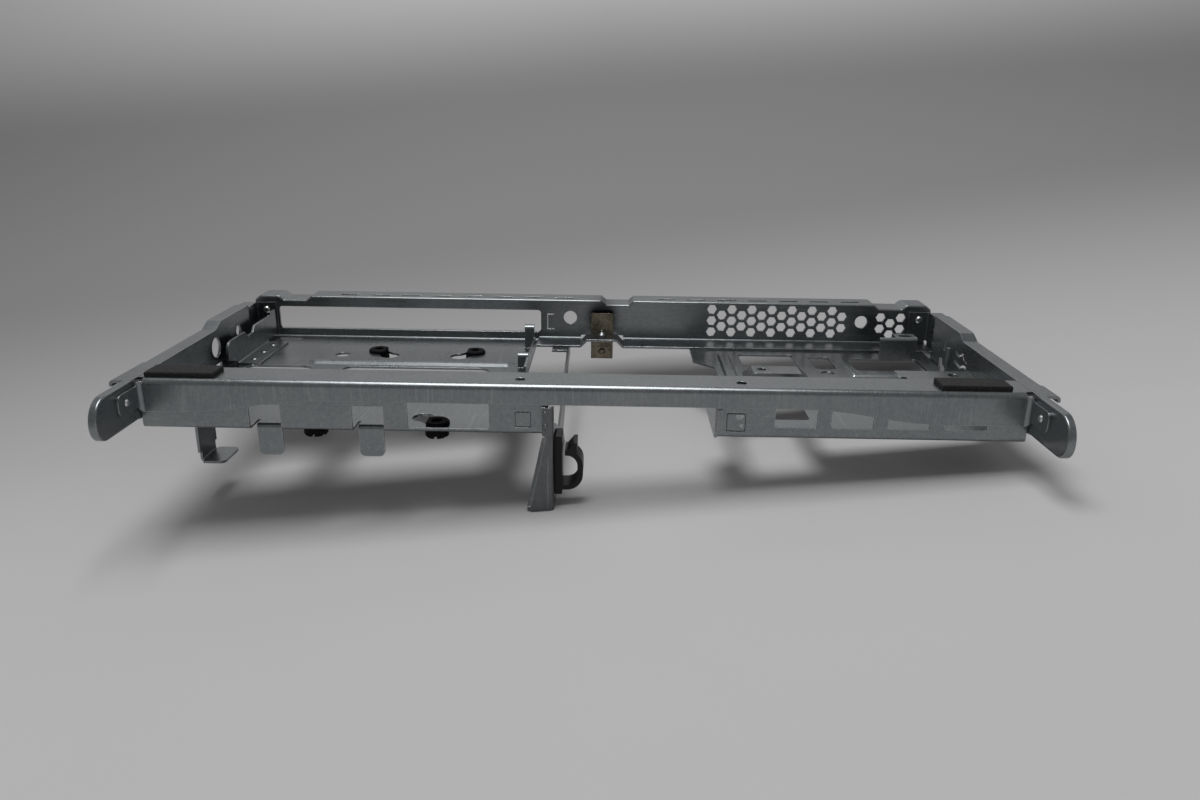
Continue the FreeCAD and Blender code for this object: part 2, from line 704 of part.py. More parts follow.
def arm_top_path():
    """Upper edge of an arm from the rail to the rear wall, side view."""
    return [
        (FRONT_TAB_START, RAIL_TOP),
        (HUMP_FRONT - HUMP_FRONT_RUN, RAIL_TOP),
        (HUMP_FRONT, HUMP_TOP),
        (HUMP_BACK, HUMP_TOP),
        (HUMP_BACK + HUMP_BACK_RUN, ARM_REAR_TOP),
        (REAR_FACE - SHEET - BEND, ARM_REAR_TOP),
    ]


def arm(tab_length):
    """Right arm before its own cut-outs: wall, ear with a drawn rim, top flange, rear fold."""
    rear = REAR_FACE - SHEET
    plan = [
        (ARM_INSIDE, -EAR_REACH),
        (ARM_INSIDE, JOGGLE_START),
        (ARM_REAR_INSIDE, JOGGLE_END),
        (ARM_REAR_INSIDE, rear),
        (ARM_REAR_INSIDE - ARM_REAR_TAB, rear),
    ]
    wall = folded(plan, on_xy(ARM_LOW), UP * (HUMP_TOP - ARM_LOW))
    top = bend_points(arm_top_path(), ARM_SOFT)
    side = top[1:-1] + [
        (REAR_FACE + OVERCUT, ARM_REAR_TOP),
        (REAR_FACE + OVERCUT, EAR_LOW),
        (REAR_FOLD, EAR_LOW),
        (REAR_FOLD, ARM_LOW),
        (ARM_STEP, ARM_LOW),
        (ARM_STEP, EAR_LOW),
        (-EAR_REACH, EAR_LOW, EAR_LOW_ROUND),
        (-EAR_REACH, RAIL_TOP, EAR_TOP_ROUND),
    ]
    reach = ARM_JOGGLE + ARM_REAR_TAB + 2 * OVERCUT
    wall = wall.common(slab(side, on_yz(ARM_INSIDE - reach), RIGHT * (2 * reach)))

    width = SHEET + ARM_FLANGE
    flange_plan = [
        (ARM_INSIDE, FRONT_TAB_START),
        (ARM_INSIDE + width, FRONT_TAB_START),
        (ARM_INSIDE + width, JOGGLE_START),
        (ARM_REAR_INSIDE + width, JOGGLE_END),
        (ARM_REAR_INSIDE + width, rear - BEND),
        (ARM_REAR_INSIDE, rear - BEND),
        (ARM_REAR_INSIDE, JOGGLE_END),
        (ARM_INSIDE, JOGGLE_START),
    ]
    flange = folded(arm_top_path(), on_yz(ARM_INSIDE), RIGHT * (ARM_JOGGLE + width), ARM_SOFT)
    flange = flange.common(slab(flange_plan, on_xy(ARM_LOW), UP * (HUMP_TOP - ARM_LOW + OVERCUT)))

    tab_edge = ARM_INSIDE + SHEET + FRONT_TAB_WIDTH
    curl = [(ARM_INSIDE, RAIL_TOP), (tab_edge, RAIL_TOP), (tab_edge, RAIL_TOP - FRONT_TAB_CURL)]
    tab = folded(curl, on_xz(FRONT_TAB_START), BACK * tab_length)

    rim = slab(ear_outline(0), on_yz(ARM_INSIDE), RIGHT * EAR_LIP)
    rim = rim.makeFillet(EAR_RIM_ROUND, [edge for edge in rim.Edges if rim_edge(edge)])
    rim = rim.cut(slab(ear_outline(SHEET), on_yz(ARM_INSIDE + SHEET), RIGHT * EAR_LIP))
    keep_back = block(
        (ARM_INSIDE - OVERCUT, ARM_INSIDE + OVERCUT), (-EAR_REACH - OVERCUT, 0), (0, HUMP_TOP)
    )
    body = wall.cut(keep_back).fuse([flange, tab, rim])
    return body.cut([rivet_hole(*ear_rivet_line()), rivet_hole(*corner_rivet_line())])


def rim_edge(edge):
    """True for the edges of an ear's inner face that its drawn rim rounds."""
    on_face = all(abs(vertex.X - ARM_INSIDE) < HAIR for vertex in edge.Vertexes)
    at_root = all(abs(vertex.Y) < HAIR for vertex in edge.Vertexes)
    return on_face and not at_root


def side_cut(points):
    """Cutting body through an arm's rear wall, from a side-view outline."""
    return slab(points, on_yz(ARM_INSIDE - OVERCUT), RIGHT * (ARM_JOGGLE + 3 * OVERCUT))


def left_arm():
    """Left arm with its sight hole, side port and a notch in its lower edge."""
    middle = Vector(ARM_INSIDE - OVERCUT, REAR_FACE - SIGHT_HOLE_IN, TRAY_TOP + SIGHT_HOLE_UP)
    sight = rod(SIGHT_HOLE_R, middle, RIGHT * (ARM_JOGGLE + 3 * OVERCUT))
    port_plan = hexagon(REAR_FACE - SIDE_PORT_IN, TRAY_TOP + SIDE_PORT_UP, SIDE_PORT_FLATS)
    notch_front = REAR_FACE - FOOT_NOTCH_IN
    notch_back = notch_front + FOOT_NOTCH_WIDTH
    notch_high = TRAY_TOP + FOOT_NOTCH_UP
    notch = rectangle(notch_front, notch_back, ARM_LOW - OVERCUT, notch_high, CORNER_ROUND)
    cuts = [sight, side_cut(port_plan), side_cut(notch)]
    return mirrored(arm(LEFT_TAB_LENGTH).cut(cuts).removeSplitter())


def side_places(places):
    """Side-view points of (in from the rear wall, up from the tray) places."""
    return [(REAR_FACE - inward, TRAY_TOP + up) for inward, up in places]


def zigzag(places):
    """Zigzag slot in side view, one of a pair round a springy tongue."""
    half = ZIGZAG_WIDTH / 2
    line = side_places(places)
    upper = [(y, z + half) for y, z in line]
    lower = [(y, z - half) for y, z in line]
    return side_cut(upper + lower[::-1])


def finger():
    """Half-round upright rib on the right arm's inner face."""
    middle = REAR_FACE - FINGER_IN
    front = middle - FINGER_WIDTH / 2
    back = middle + FINGER_WIDTH / 2
    inner = ARM_INSIDE - FINGER_PROUD
    root = ARM_INSIDE + SHEET / 2
    plan = [(inner, front, FINGER_PROUD), (root, front), (root, back), (inner, back, FINGER_PROUD)]
    return slab(plan, on_xy(TRAY_TOP + FINGER_LOW_UP), UP * (FINGER_HIGH_UP - FINGER_LOW_UP))


def right_arm():
    """Right arm with its slots, a rib and an inward perch over the side shelf."""
    slot_front = REAR_FACE - ARM_SLOT_IN
    slot_back = slot_front + ARM_SLOT_WIDTH
    slot_low = TRAY_TOP + ARM_SLOT_LOW_UP
    slot_high = TRAY_TOP + ARM_SLOT_HIGH_UP
    slot = side_cut(rectangle(slot_front, slot_back, slot_low, slot_high, CORNER_ROUND))
    port = side_cut(side_places(FINGER_PORT))
    cuts = [slot, port, zigzag(ZIGZAG_HIGH), zigzag(ZIGZAG_LOW)]
    return arm(RIGHT_TAB_LENGTH).cut(cuts).fuse([perch(), finger()]).removeSplitter()


def perch():
    """Inward tab of the right arm with a notched corner and a hole."""
    inner = ARM_INSIDE - PERCH_REACH
    back = PERCH_FRONT + PERCH_DEPTH
    root = ARM_INSIDE + SHEET / 2
    plan = [
        (inner, PERCH_FRONT + PERCH_NOSE_DEEP),
        (inner + PERCH_NOSE, PERCH_FRONT + PERCH_NOSE_DEEP),
        (inner + PERCH_NOSE, PERCH_FRONT),
        (root, PERCH_FRONT),
        (root, back),
        (inner, back),
    ]
    under = TRAY_TOP + PERCH_UP - SHEET
    hole = Vector(ARM_INSIDE - PERCH_HOLE_IN, PERCH_HOLE_BACK, under - OVERCUT)
    return slab(plan, on_xy(under), UP * SHEET).cut(rod(PERCH_HOLE_R, hole, UP * (2 * OVERCUT)))


def wall_top_path():
    """Upper edge of the rear wall from left to right, with its lowered stretches."""
    near = STEP_WIDTH / 2
    far = near + STEP_SLOPE
    low = REAR_TOP - STEP_DROP
    path = [(-WALL_HALF, low), (STEP_SLOPE - WALL_HALF, REAR_TOP)]
    for middle in (STEP_IN - WALL_HALF, STEP_MIDDLE, WALL_HALF - STEP_IN):
        path += [(middle - far, REAR_TOP), (middle - near, low)]
        path += [(middle + near, low), (middle + far, REAR_TOP)]
    return path + [(WALL_HALF - STEP_SLOPE, REAR_TOP), (WALL_HALF, low)]


def rear_wall():
    """Rear wall with a stepped top flange, a foot, a drive window and a field of vents."""
    bay_high = TRAY_TOP + BAY_HIGH_UP
    fold = [(WALL_FRONT, WALL_FOOT_TOP), (REAR_FACE, WALL_FOOT_TOP), (REAR_FACE, BAY_LOW)]
    foot = folded(fold, on_yz(FOOT_LEFT), RIGHT * (FOOT_RIGHT - FOOT_LEFT))
    depth = (REAR_FACE, REAR_FACE + SHEET)
    left_skirt = block((-WALL_HALF, FOOT_LEFT), depth, (TRAY_LOW, BAY_LOW))
    right_skirt = block((FOOT_RIGHT, WALL_HALF), depth, (EAR_LOW, BAY_LOW))
    face = bend_points(wall_top_path(), BEND) + [(WALL_HALF, BAY_LOW), (-WALL_HALF, BAY_LOW)]
    upright = slab(face, on_xz(REAR_FACE), BACK * SHEET)
    flange = folded(wall_top_path(), on_xz(REAR_FACE), BACK * WALL_FLANGE)
    wall = foot.fuse([upright, flange, left_skirt, right_skirt]).removeSplitter()
    wall = wall.makeFillet(WALL_NOSE, [edge for edge in wall.Edges if crest_edge(edge)])

    cuts = [wall_cut(rectangle(BAY_IN - WALL_HALF, BAY_RIGHT, BAY_LOW, bay_high, BAY_ROUND))]
    for x, radius in ((PORT_X, PORT_R), (WALL_HALF - GAUGE_IN, GAUGE_R)):
        start = Vector(x, REAR_FACE - OVERCUT, TRAY_TOP + PORT_UP)
        cuts.append(rod(radius, start, BACK * (2 * OVERCUT)))
    hole = rivet_hole(*corner_rivet_line())
    cuts += vent_cuts() + lance_cuts() + flange_slots() + [hole, mirrored(hole)]
    strap_width = (STRAP_LEFT, STRAP_RIGHT)
    notch_top = WALL_FOOT_TOP + STRAP_NOTCH
    cuts.append(block(strap_width, (WALL_FRONT - OVERCUT, REAR_FACE - BEND), (TRAY_LOW, STRAP_TOP)))
    cuts.append(block(strap_width, (WALL_FRONT, REAR_FACE + OVERCUT), (TRAY_LOW, notch_top)))
    return wall.cut(cuts).fuse(strap()).removeSplitter()


def crest_edge(edge):
    """True for the edges along the rear wall's upper front fold."""
    low = REAR_TOP - STEP_DROP - HAIR
    return all(abs(v.Y - REAR_FACE) < HAIR and v.Z > low for v in edge.Vertexes)


def wall_cut(points):
    """Cutting body through the rear wall, from a front-view outline."""
    return slab(points, on_xz(REAR_FACE - OVERCUT), BACK * (SHEET + 2 * OVERCUT))


def vent_cuts():
    """Hexagonal vents: a long field of staggered columns and a small group at the corner."""
    column = HEX_PITCH * math.sin(math.radians(60))
    level = TRAY_TOP + HEX_UP
    first = WALL_HALF - HEX_IN
    places = []
    for index in range(HEX_COLUMNS):
        x = first + column * index
        shift = index % 2 * HEX_PITCH / 2
        places += [(x, level + shift), (x, level + shift - HEX_PITCH)]
        if shift == 0:
            places.append((x, level + HEX_PITCH))
    cluster = WALL_HALF - CLUSTER_IN
    for index, shift in enumerate((HEX_PITCH / 2, 0, HEX_PITCH / 2)):
        x = cluster + column * index
        places += [(x, level + shift), (x, level + shift - HEX_PITCH)]
    return [wall_cut(hexagon(x, z, HEX_FLATS)) for x, z in places]


def lance_cuts():
    """Three slits that leave a small tongue beside the drive window."""
    left = LANCE_X - LANCE_WIDTH / 2
    right = LANCE_X + LANCE_WIDTH / 2
    low = TRAY_TOP + LANCE_UP - LANCE_HEIGHT / 2
    high = low + LANCE_HEIGHT
    path = [
        (right, low),
        (left, low),
        (left, high),
        (right, high),
        (right, high - LANCE_CUT),
        (left + LANCE_CUT, high - LANCE_CUT),
        (left + LANCE_CUT, low + LANCE_CUT),
        (right, low + LANCE_CUT),
    ]
    return [wall_cut(path)]


def flange_slots():
    """Rows of short slots along the rear wall's top flange."""
    y = REAR_FACE + SLOT_BACK
    starts = [SLOTS_LEFT + SLOT_PITCH * step for step in range(SLOTS_LEFT_COUNT)]
    starts += [SLOTS_RIGHT + SLOT_PITCH * step for step in range(SLOTS_RIGHT_COUNT)]
    cuts = []
    for x in starts:
        span = (x - SLOT_LENGTH / 2, x + SLOT_LENGTH / 2)
        depth = (y - SLOT_WIDTH / 2, y + SLOT_WIDTH / 2)
        cuts.append(block(span, depth, (REAR_TOP - SHEET - OVERCUT, REAR_TOP + OVERCUT)))
    return cuts


def strap():
    """Raised strap of the rear wall's foot that carries the spring clip."""
    path = [
        (STRAP_LEFT - STRAP_SLOPE, WALL_FOOT_TOP),
        (STRAP_LEFT, WALL_FOOT_TOP),
        (STRAP_LEFT + STRAP_SLOPE, STRAP_TOP),
        (STRAP_RIGHT - STRAP_SLOPE, STRAP_TOP),
        (STRAP_RIGHT, WALL_FOOT_TOP),
        (STRAP_RIGHT + STRAP_SLOPE, WALL_FOOT_TOP),
    ]
    body = folded(path, on_xz(WALL_FRONT), BACK * (WALL_FOOT - STRAP_GAP))
    return body.cut(rod(SCREW_R, screw_seat() - UP * OVERCUT, UP * (2 * OVERCUT)))


def screw_seat():
    """Middle of the strap's upper face, where the clip's screw goes in."""
    return Vector(STRAP_MIDDLE, WALL_FRONT + (WALL_FOOT - STRAP_GAP) / 2, STRAP_TOP)


def spring_clip():
    """Nickel spring: an upright leaf behind the strap and a tab under it that takes the screw."""
    front = REAR_FACE - STRAP_GAP
    half = CLIP_WIDTH / 2
    low = STRAP_TOP - CLIP_DOWN
    high = STRAP_TOP + CLIP_UP
    plate = [
        (STRAP_MIDDLE - half, low),
        (STRAP_MIDDLE + half, low),
        (STRAP_MIDDLE + half, high, CLIP_ROUND),
        (STRAP_MIDDLE - half, high, CLIP_ROUND),
    ]
    leaf = slab(plate, on_xz(front), BACK * CLIP_SHEET)
    under = STRAP_TOP - SHEET
    tab_span = (STRAP_MIDDLE - CLIP_SEAT_WIDTH / 2, STRAP_MIDDLE + CLIP_SEAT_WIDTH / 2)
    tab = block(tab_span, (front - CLIP_SEAT_REACH, front), (under - CLIP_SHEET, under))
    boss_start = Vector(STRAP_MIDDLE, front + CLIP_SHEET / 2, STRAP_TOP - CLIP_BOSS_DOWN)
    boss = Part.makeCone(CLIP_BOSS_R, CLIP_BOSS_R / 2, 2 * CLIP_SHEET, boss_start, BACK * -1)
    slot_low = STRAP_TOP - CLIP_SLOT_DOWN
    slot = block(
        (STRAP_MIDDLE - CLIP_SLOT_WIDTH / 2, STRAP_MIDDLE + CLIP_SLOT_WIDTH / 2),
        (front - OVERCUT, front + CLIP_SHEET / 2),
        (slot_low, slot_low + CLIP_SLOT_HEIGHT),
    )
    hole = rod(SCREW_R, screw_seat() - UP * OVERCUT, UP * (2 * OVERCUT))
    return leaf.fuse([tab, boss]).cut([slot, hole]).removeSplitter()


def clip_screw():
    """Screw down through the strap and the clip's tab, its head drawn in to a small tip."""
    seat = screw_seat()
    rim = SCREW_HEAD / 2
    head = rod(SCREW_HEAD_R, seat, UP * rim)
    crown = Part.makeCone(SCREW_HEAD_R, SCREW_CROWN_R, SCREW_HEAD - rim, seat + UP * rim, UP)
    tip = rod(SCREW_CROWN_R, seat + UP * SCREW_HEAD, UP * SCREW_TIP)
    shank = rod(SCREW_R, seat, UP * -SCREW_LENGTH)
    return head.fuse([crown, tip, shank]).removeSplitter()


def upstand_sheet(left, right, rear):
    """Sheet lying at tray level with a front upstand behind the rail and the given rear end."""
    path = [(UPSTAND_BACK, UPSTAND_TOP), (UPSTAND_BACK, TRAY_TOP)] + rear
    return folded(path, on_yz(left), RIGHT * (right - left))


def upstand_cut(points):
    """Cutting body through a front upstand, from a front-view outline."""
    return slab(points, on_xz(SHEET - OVERCUT), BACK * (UPSTAND_BACK + OVERCUT))


def scored_square(left, low, size):
    """Cutting body of a shallow groove around a square in a front upstand."""
    right = left + size
    high = low + size
    outer = rectangle(left, right, low, high, CORNER_ROUND)
    inner = rectangle(
        left + RECESS_GROOVE,
        right - RECESS_GROOVE,
        low + RECESS_GROOVE,
        high - RECESS_GROOVE,
        CORNER_ROUND / 2,
    )
    run = BACK * RECESS_DEEP
    return slab(outer, on_xz(SHEET), run).cut(slab(inner, on_xz(SHEET), run))


def drive_holes():
    """The four screw places under a drive: (x, y, side away from the middle)."""
    places = []
    for side in (-1, 1):
        x = DRIVE_MIDDLE + side * DRIVE_HOLES_X / 2
        places += [(x, DRIVE_FRONT, side), (x, DRIVE_REAR, side)]
    return places


def keyhole(x, y, side):
    """Cutting body of a keyhole: a seat for the grommet and a wide end to pass it in."""
    low = TRAY_LOW - OVERCUT
    run = UP * (SHEET + 2 * OVERCUT)
    inward = 1 if y < REAR_FACE / 2 else -1
    seat = Vector(x, y, low)
    wide = seat + Vector(-side * KEYHOLE_ACROSS, inward * KEYHOLE_ALONG, 0)
    across = (wide - seat).cross(UP).normalize() * GROMMET_WAIST
    corners = [seat + across, wide + across, wide - across, seat - across]
    neck = slab([(corner.x, corner.y) for corner in corners], on_xy(low), run)
    return rod(GROMMET_WAIST, seat, run).fuse([rod(KEYHOLE_R, wide, run), neck])


def ridge(sheet_body, span, rise, slope, radius, soft=0):
    """Sheet with a ridge raised from a (left, right, front, back) outline to a smaller one."""
    left, right, front, back = span
    base = rectangle(left, right, front, back, radius)
    crown = rectangle(left + slope, right - slope, front + slope, back - slope, radius - slope)
    return raised(sheet_body, base, crown, rise, soft)


def bead(tray):
    """Tray with its stiffening bead."""
    span = (BEAD_LEFT, BEAD_RIGHT, BEAD_FRONT, BEAD_BACK)
    return ridge(tray, span, BEAD_RISE, BEAD_SLOPE, BEAD_ROUND, BEAD_SOFT)


def tray_hook():
    """Hook that hangs from the tray's left edge and turns in to a foot."""
    inner = TRAY_LEFT + SHEET
    root = inner + BEND + 2 * SHEET
    tip = TRAY_LEFT + HOOK_FOOT
    end = HOOK_FRONT + HOOK_WIDTH
    path = [(root, TRAY_LOW), (inner, TRAY_LOW), (inner, SHEET), (tip, SHEET)]
    hook = folded(path, on_xz(HOOK_FRONT), BACK * HOOK_WIDTH)
    spans = ((HOOK_FRONT - OVERCUT, HOOK_FRONT + HOOK_NOTCH), (end - HOOK_NOTCH, end + OVERCUT))
    side = (TRAY_LEFT - OVERCUT, inner + BEND)
    notches = [block(side, span, (-OVERCUT, HOOK_NOTCH_HIGH)) for span in spans]
    plan = [
        (tip, HOOK_FRONT, HOOK_FOOT_ROUND),
        (TRAY_LEFT - OVERCUT, HOOK_FRONT),
        (TRAY_LEFT - OVERCUT, end),
        (tip, end, HOOK_FOOT_ROUND),
    ]
    return hook.cut(notches).common(slab(plan, on_xy(-OVERCUT), UP * RAIL_TOP))


def tongue(middle):
    """Tongue that hangs from the tray's front strip behind the rail."""
    path = [
        (TONGUE_FRONT, TRAY_TOP - TONGUE_DROP),
        (TONGUE_FRONT, TRAY_TOP),
        (TONGUE_ROOT + SHEET, TRAY_TOP),
    ]
    left = middle - TONGUE_WIDTH / 2
    body = folded(path, on_yz(left), RIGHT * TONGUE_WIDTH)
    low = TRAY_TOP - TONGUE_DROP
    face = [
        (left, low, TONGUE_ROUND),
        (left + TONGUE_WIDTH, low, TONGUE_ROUND),
        (left + TONGUE_WIDTH, TRAY_TOP + OVERCUT),
        (left, TRAY_TOP + OVERCUT),
    ]
    return body.common(slab(face, on_xz(0), BACK * (TONGUE_ROOT + OVERCUT)))


def tongue_port(middle):
    """Opening in the upstand and the front strip round a hanging tongue."""
    half = TONGUE_WIDTH / 2 + TONGUE_PORT_MARGIN
    high = TRAY_TOP + TONGUE_PORT_UP
    return block((middle - half, middle + half), (-OVERCUT, TONGUE_ROOT), (TRAY_LOW - OVERCUT, high))


def tray_cuts():
    """Cutting bodies of the tray's corner, its two cut-outs and the ports in its upstand."""
    corner = [
        (TRAY_RIGHT, FRONT_STRIP, CUT_ROUND),
        (TRAY_FRONT_RIGHT + OVERCUT, FRONT_STRIP),
        (TRAY_FRONT_RIGHT + OVERCUT, TRAY_BACK + OVERCUT),
        (TRAY_RIGHT, TRAY_BACK + OVERCUT),
    ]
    left_cut = [
        (TRAY_LEFT + CUT_A_IN, CUT_FRONT, CUT_ROUND),
        (CUT_A_RIGHT, CUT_FRONT, CUT_ROUND),
        (CUT_A_RIGHT, CUT_A_BACK, CUT_A_ROUND),
        (TRAY_LEFT + CUT_A_IN, CUT_A_BACK, CUT_ROUND),
    ]
    main_cut = rectangle(CUT_B_LEFT, CUT_B_RIGHT, CUT_FRONT, CUT_B_BACK, CUT_ROUND)
    window_low = TRAY_TOP + WINDOW_LOW_UP
    window_high = TRAY_TOP + WINDOW_HIGH_UP
    window = rectangle(WINDOW_LEFT, WINDOW_RIGHT, window_low, window_high, CORNER_ROUND)
    square = scored_square(SQUARE_LEFT, TRAY_TOP + SQUARE_UP, SQUARE_SIZE)
    pass_front = REAR_FACE - PASS_IN
    slot = rectangle(PASS_LEFT, PASS_RIGHT, pass_front, pass_front + PASS_WIDTH, CORNER_ROUND)
    plans = [well(plan, TRAY_LOW, TRAY_TOP) for plan in (corner, left_cut, main_cut, slot)]
    ports = [tongue_port(TONGUE_A), tongue_port(TONGUE_B), upstand_cut(window)]
    fold_end = ARM_REAR_TAB - ARM_REAR_INSIDE + SIDE_GAP
    fold_room = block((TRAY_LEFT - OVERCUT, fold_end), (REAR_FOLD, REAR_FACE), (TRAY_LOW, BAY_LOW))
    return plans + ports + [square, fold_room]


def drive_tray():
    """Tray over the drive: upstands, cut-outs, bead, keyholes, tongues, edge guide and hook."""
    rear = [(REAR_FACE - SHEET, TRAY_TOP), (REAR_FACE - SHEET, BAY_LOW)]
    tray = bead(upstand_sheet(TRAY_LEFT, TRAY_FRONT_RIGHT, rear).cut(tray_cuts()))
    holes = [keyhole(*place) for place in drive_holes()]
    start = Vector(LOCATOR_X, DRIVE_REAR - LOCATOR_AHEAD, TRAY_LOW - OVERCUT)
    holes.append(rod(LOCATOR_R, start, UP * (2 * OVERCUT)))
    holes += [rivet_hole(*line) for line in guide_rivet_lines() + divider_rivet_lines()]
    folds = [tongue(TONGUE_A), tongue(TONGUE_B), edge_guide(), tray_hook(), mirrored(rear_wing())]
    return tray.cut(holes).fuse(folds).removeSplitter()


def rear_wing():
    """Strip that carries the shelf or the tray out to the arm behind the arm's step."""
    return block((SHELF_RIGHT, FOOT_RIGHT), (JOGGLE_END, REAR_FOLD), (TRAY_LOW, TRAY_TOP))


def edge_guide():
    """Upstand on the tray's right edge with two taller ears turned in from it."""
    back = WALL_FRONT - EDGE_GAP
    inner = TRAY_RIGHT - SHEET
    root = inner - SHEET - BEND
    path = [(root, TRAY_TOP), (inner, TRAY_TOP), (inner, TRAY_TOP + EDGE_HEIGHT)]
    guide = folded(path, on_xz(EDGE_FRONT), BACK * (back - EDGE_FRONT))
    ears = []
    for y, up in ((REAR_FACE - FRONT_EAR_IN, FRONT_EAR_UP), (back - SHEET, REAR_EAR_UP)):
        top = TRAY_TOP + up
        side = [(y, TRAY_LOW), (y, top), (y + EDGE_EAR_FOLD, top)]
        ears.append(folded(side, on_yz(TRAY_RIGHT - EDGE_EAR_REACH), RIGHT * (EDGE_EAR_REACH - SHEET / 2)))
    return guide.fuse(ears)


def grommet(x, y, side):
    """Rubber grommet: a flanged bush that grips the tray, with one flat side."""
    high = TRAY_TOP + GROMMET_TOP
    low = TRAY_LOW - GROMMET_LOW
    profile = [
        (GROMMET_BORE, low),
        (GROMMET_LOW_R - GROMMET_CHAMFER, low),
        (GROMMET_LOW_R, low + GROMMET_CHAMFER),
        (GROMMET_LOW_R, TRAY_LOW),
        (GROMMET_WAIST, TRAY_LOW),
        (GROMMET_WAIST, TRAY_TOP),
        (GROMMET_TOP_R, TRAY_TOP),
        (GROMMET_TOP_R, high - GROMMET_CHAMFER),
        (GROMMET_TOP_R - GROMMET_CHAMFER, high),
        (GROMMET_BORE, high),
    ]
    face = Part.Face(outline(profile, on_xz(0)))
    body = face.revolve(Vector(0, 0, 0), UP, 360).translated(Vector(x, y, 0))
    flat = sorted((x - side * GROMMET_FLAT, x - side * (GROMMET_TOP_R + OVERCUT)))
    reach = (y - GROMMET_TOP_R - OVERCUT, y + GROMMET_TOP_R + OVERCUT)
    cuts = [block(flat, reach, (TRAY_TOP, high + OVERCUT))]
    half = GROMMET_NOTCH / 2
    notch = block((-OVERCUT, OVERCUT), (-half, half), (low - OVERCUT, low + GROMMET_NOTCH_DEEP))
    for turn in GROMMET_NOTCH_TURNS:
        cuts.append(notch.rotated(Vector(0, 0, 0), UP, turn).translated(Vector(x, y, 0)))
    return body.cut(cuts).removeSplitter()


def side_shelf():
    """Shelf on the right: upstand with light slots and a gusset, openings, bridge and post."""
    shelf = upstand_sheet(SHELF_LEFT, SHELF_RIGHT, [(TRAY_BACK, TRAY_TOP)])
    corner_back = REAR_FACE - SHELF_CORNER_IN
    waist = [
        (SHELF_LEFT - OVERCUT, SHELF_WAIST_FRONT),
        (SHELF_WAIST_LEFT, SHELF_WAIST_FRONT + OVERCUT),
        (SHELF_WAIST_LEFT, REAR_FACE - SHELF_WAIST_IN),
        (SHELF_LEFT, corner_back),
        (SHELF_LEFT - OVERCUT, corner_back),
    ]
    plans = [waist]
    for left, right, front_in, back_in in SHELF_CUTS:
        front = REAR_FACE - front_in
        plans.append(rectangle(left, right, front, REAR_FACE - back_in, SHELF_CUT_ROUND))
    slit_front = REAR_FACE - SLIT_IN
    slit_back = slit_front + SLIT_WIDTH
    plans.append(rectangle(SLIT_LEFT, SLIT_RIGHT, slit_front, slit_back, CORNER_ROUND))
    cuts = [well(plan, TRAY_LOW, TRAY_TOP) for plan in plans]

    bridge_front = REAR_FACE - BRIDGE_IN
    bridge_depth = (bridge_front, bridge_front + BRIDGE_DEPTH)
    cuts.append(block((BRIDGE_LEFT, BRIDGE_RIGHT), bridge_depth, (TRAY_LOW, TRAY_TOP)))
    light_low = TRAY_TOP + LIGHT_LOW_UP
    light_high = TRAY_TOP + LIGHT_HIGH_UP
    for index in range(LIGHT_COUNT):
        left = LIGHT_FIRST + LIGHT_PITCH * index
        light = rectangle(left, left + LIGHT_WIDTH, light_low, light_high, CORNER_ROUND)
        cuts.append(upstand_cut(light))
    dimple = Vector(DIMPLE_X, REAR_FACE - DIMPLE_IN, TRAY_TOP - SHEET / 2)
    cuts += recess_cuts() + [rod(DIMPLE_R, dimple, UP * SHEET)]
    shelf = shelf.cut(cuts)
    for left, right, front_in, back_in in RIDGES:
        span = (left, right, REAR_FACE - front_in, REAR_FACE - back_in)
        shelf = ridge(shelf, span, RIDGE_RISE, RIDGE_SLOPE, RIDGE_ROUND)
    return shelf.fuse([gusset(), bridge(), post(), rear_wing(), shelf_rib()]).removeSplitter()


def shelf_rib():
    """Upright rib on the upstand's left end, below the rail's face."""
    left = SHELF_LEFT + SHELF_RIB_IN
    top = RAIL_TOP - RAIL_FACE_MID - SHEET
    depth = (SHEET - SHELF_RIB_PROUD, SHEET)
    return block((left, left + SHELF_RIB_WIDTH), depth, (TRAY_TOP + SHEET, top))


def recess_cuts():
    """Scored square in the shelf's upstand with two small through ports at its right."""
    low = TRAY_TOP + RECESS_UP
    right = RECESS_LEFT + RECESS_SIZE
    high = low + RECESS_SIZE
    port_left = right - BEND - RECESS_PORT_LONG
    port_low = high - BEND - RECESS_PORT_HIGH
    port = rectangle(port_left, right - BEND, port_low, high - BEND, CORNER_ROUND)
    pin_low = low + RECESS_PIN_UP - RECESS_UP
    pin_left = right - BEND - RECESS_PIN_LONG
    pin = rectangle(pin_left, right - BEND, pin_low, pin_low + RECESS_PIN_HIGH, RECESS_PIN_HIGH / 4)
    square = scored_square(RECESS_LEFT, low, RECESS_SIZE)
    return [square, upstand_cut(port), upstand_cut(pin)]


def gusset():
    """Triangular flange folded back from the left end of the shelf's upstand."""
    back_top = UPSTAND_BACK + GUSSET_TOP
    back_low = UPSTAND_BACK + GUSSET_LOW
    side = [(SHEET, TRAY_LOW), (back_low, TRAY_LOW), (back_top, UPSTAND_TOP), (SHEET, UPSTAND_TOP)]
    return slab(side, on_yz(SHELF_LEFT), RIGHT * SHEET)


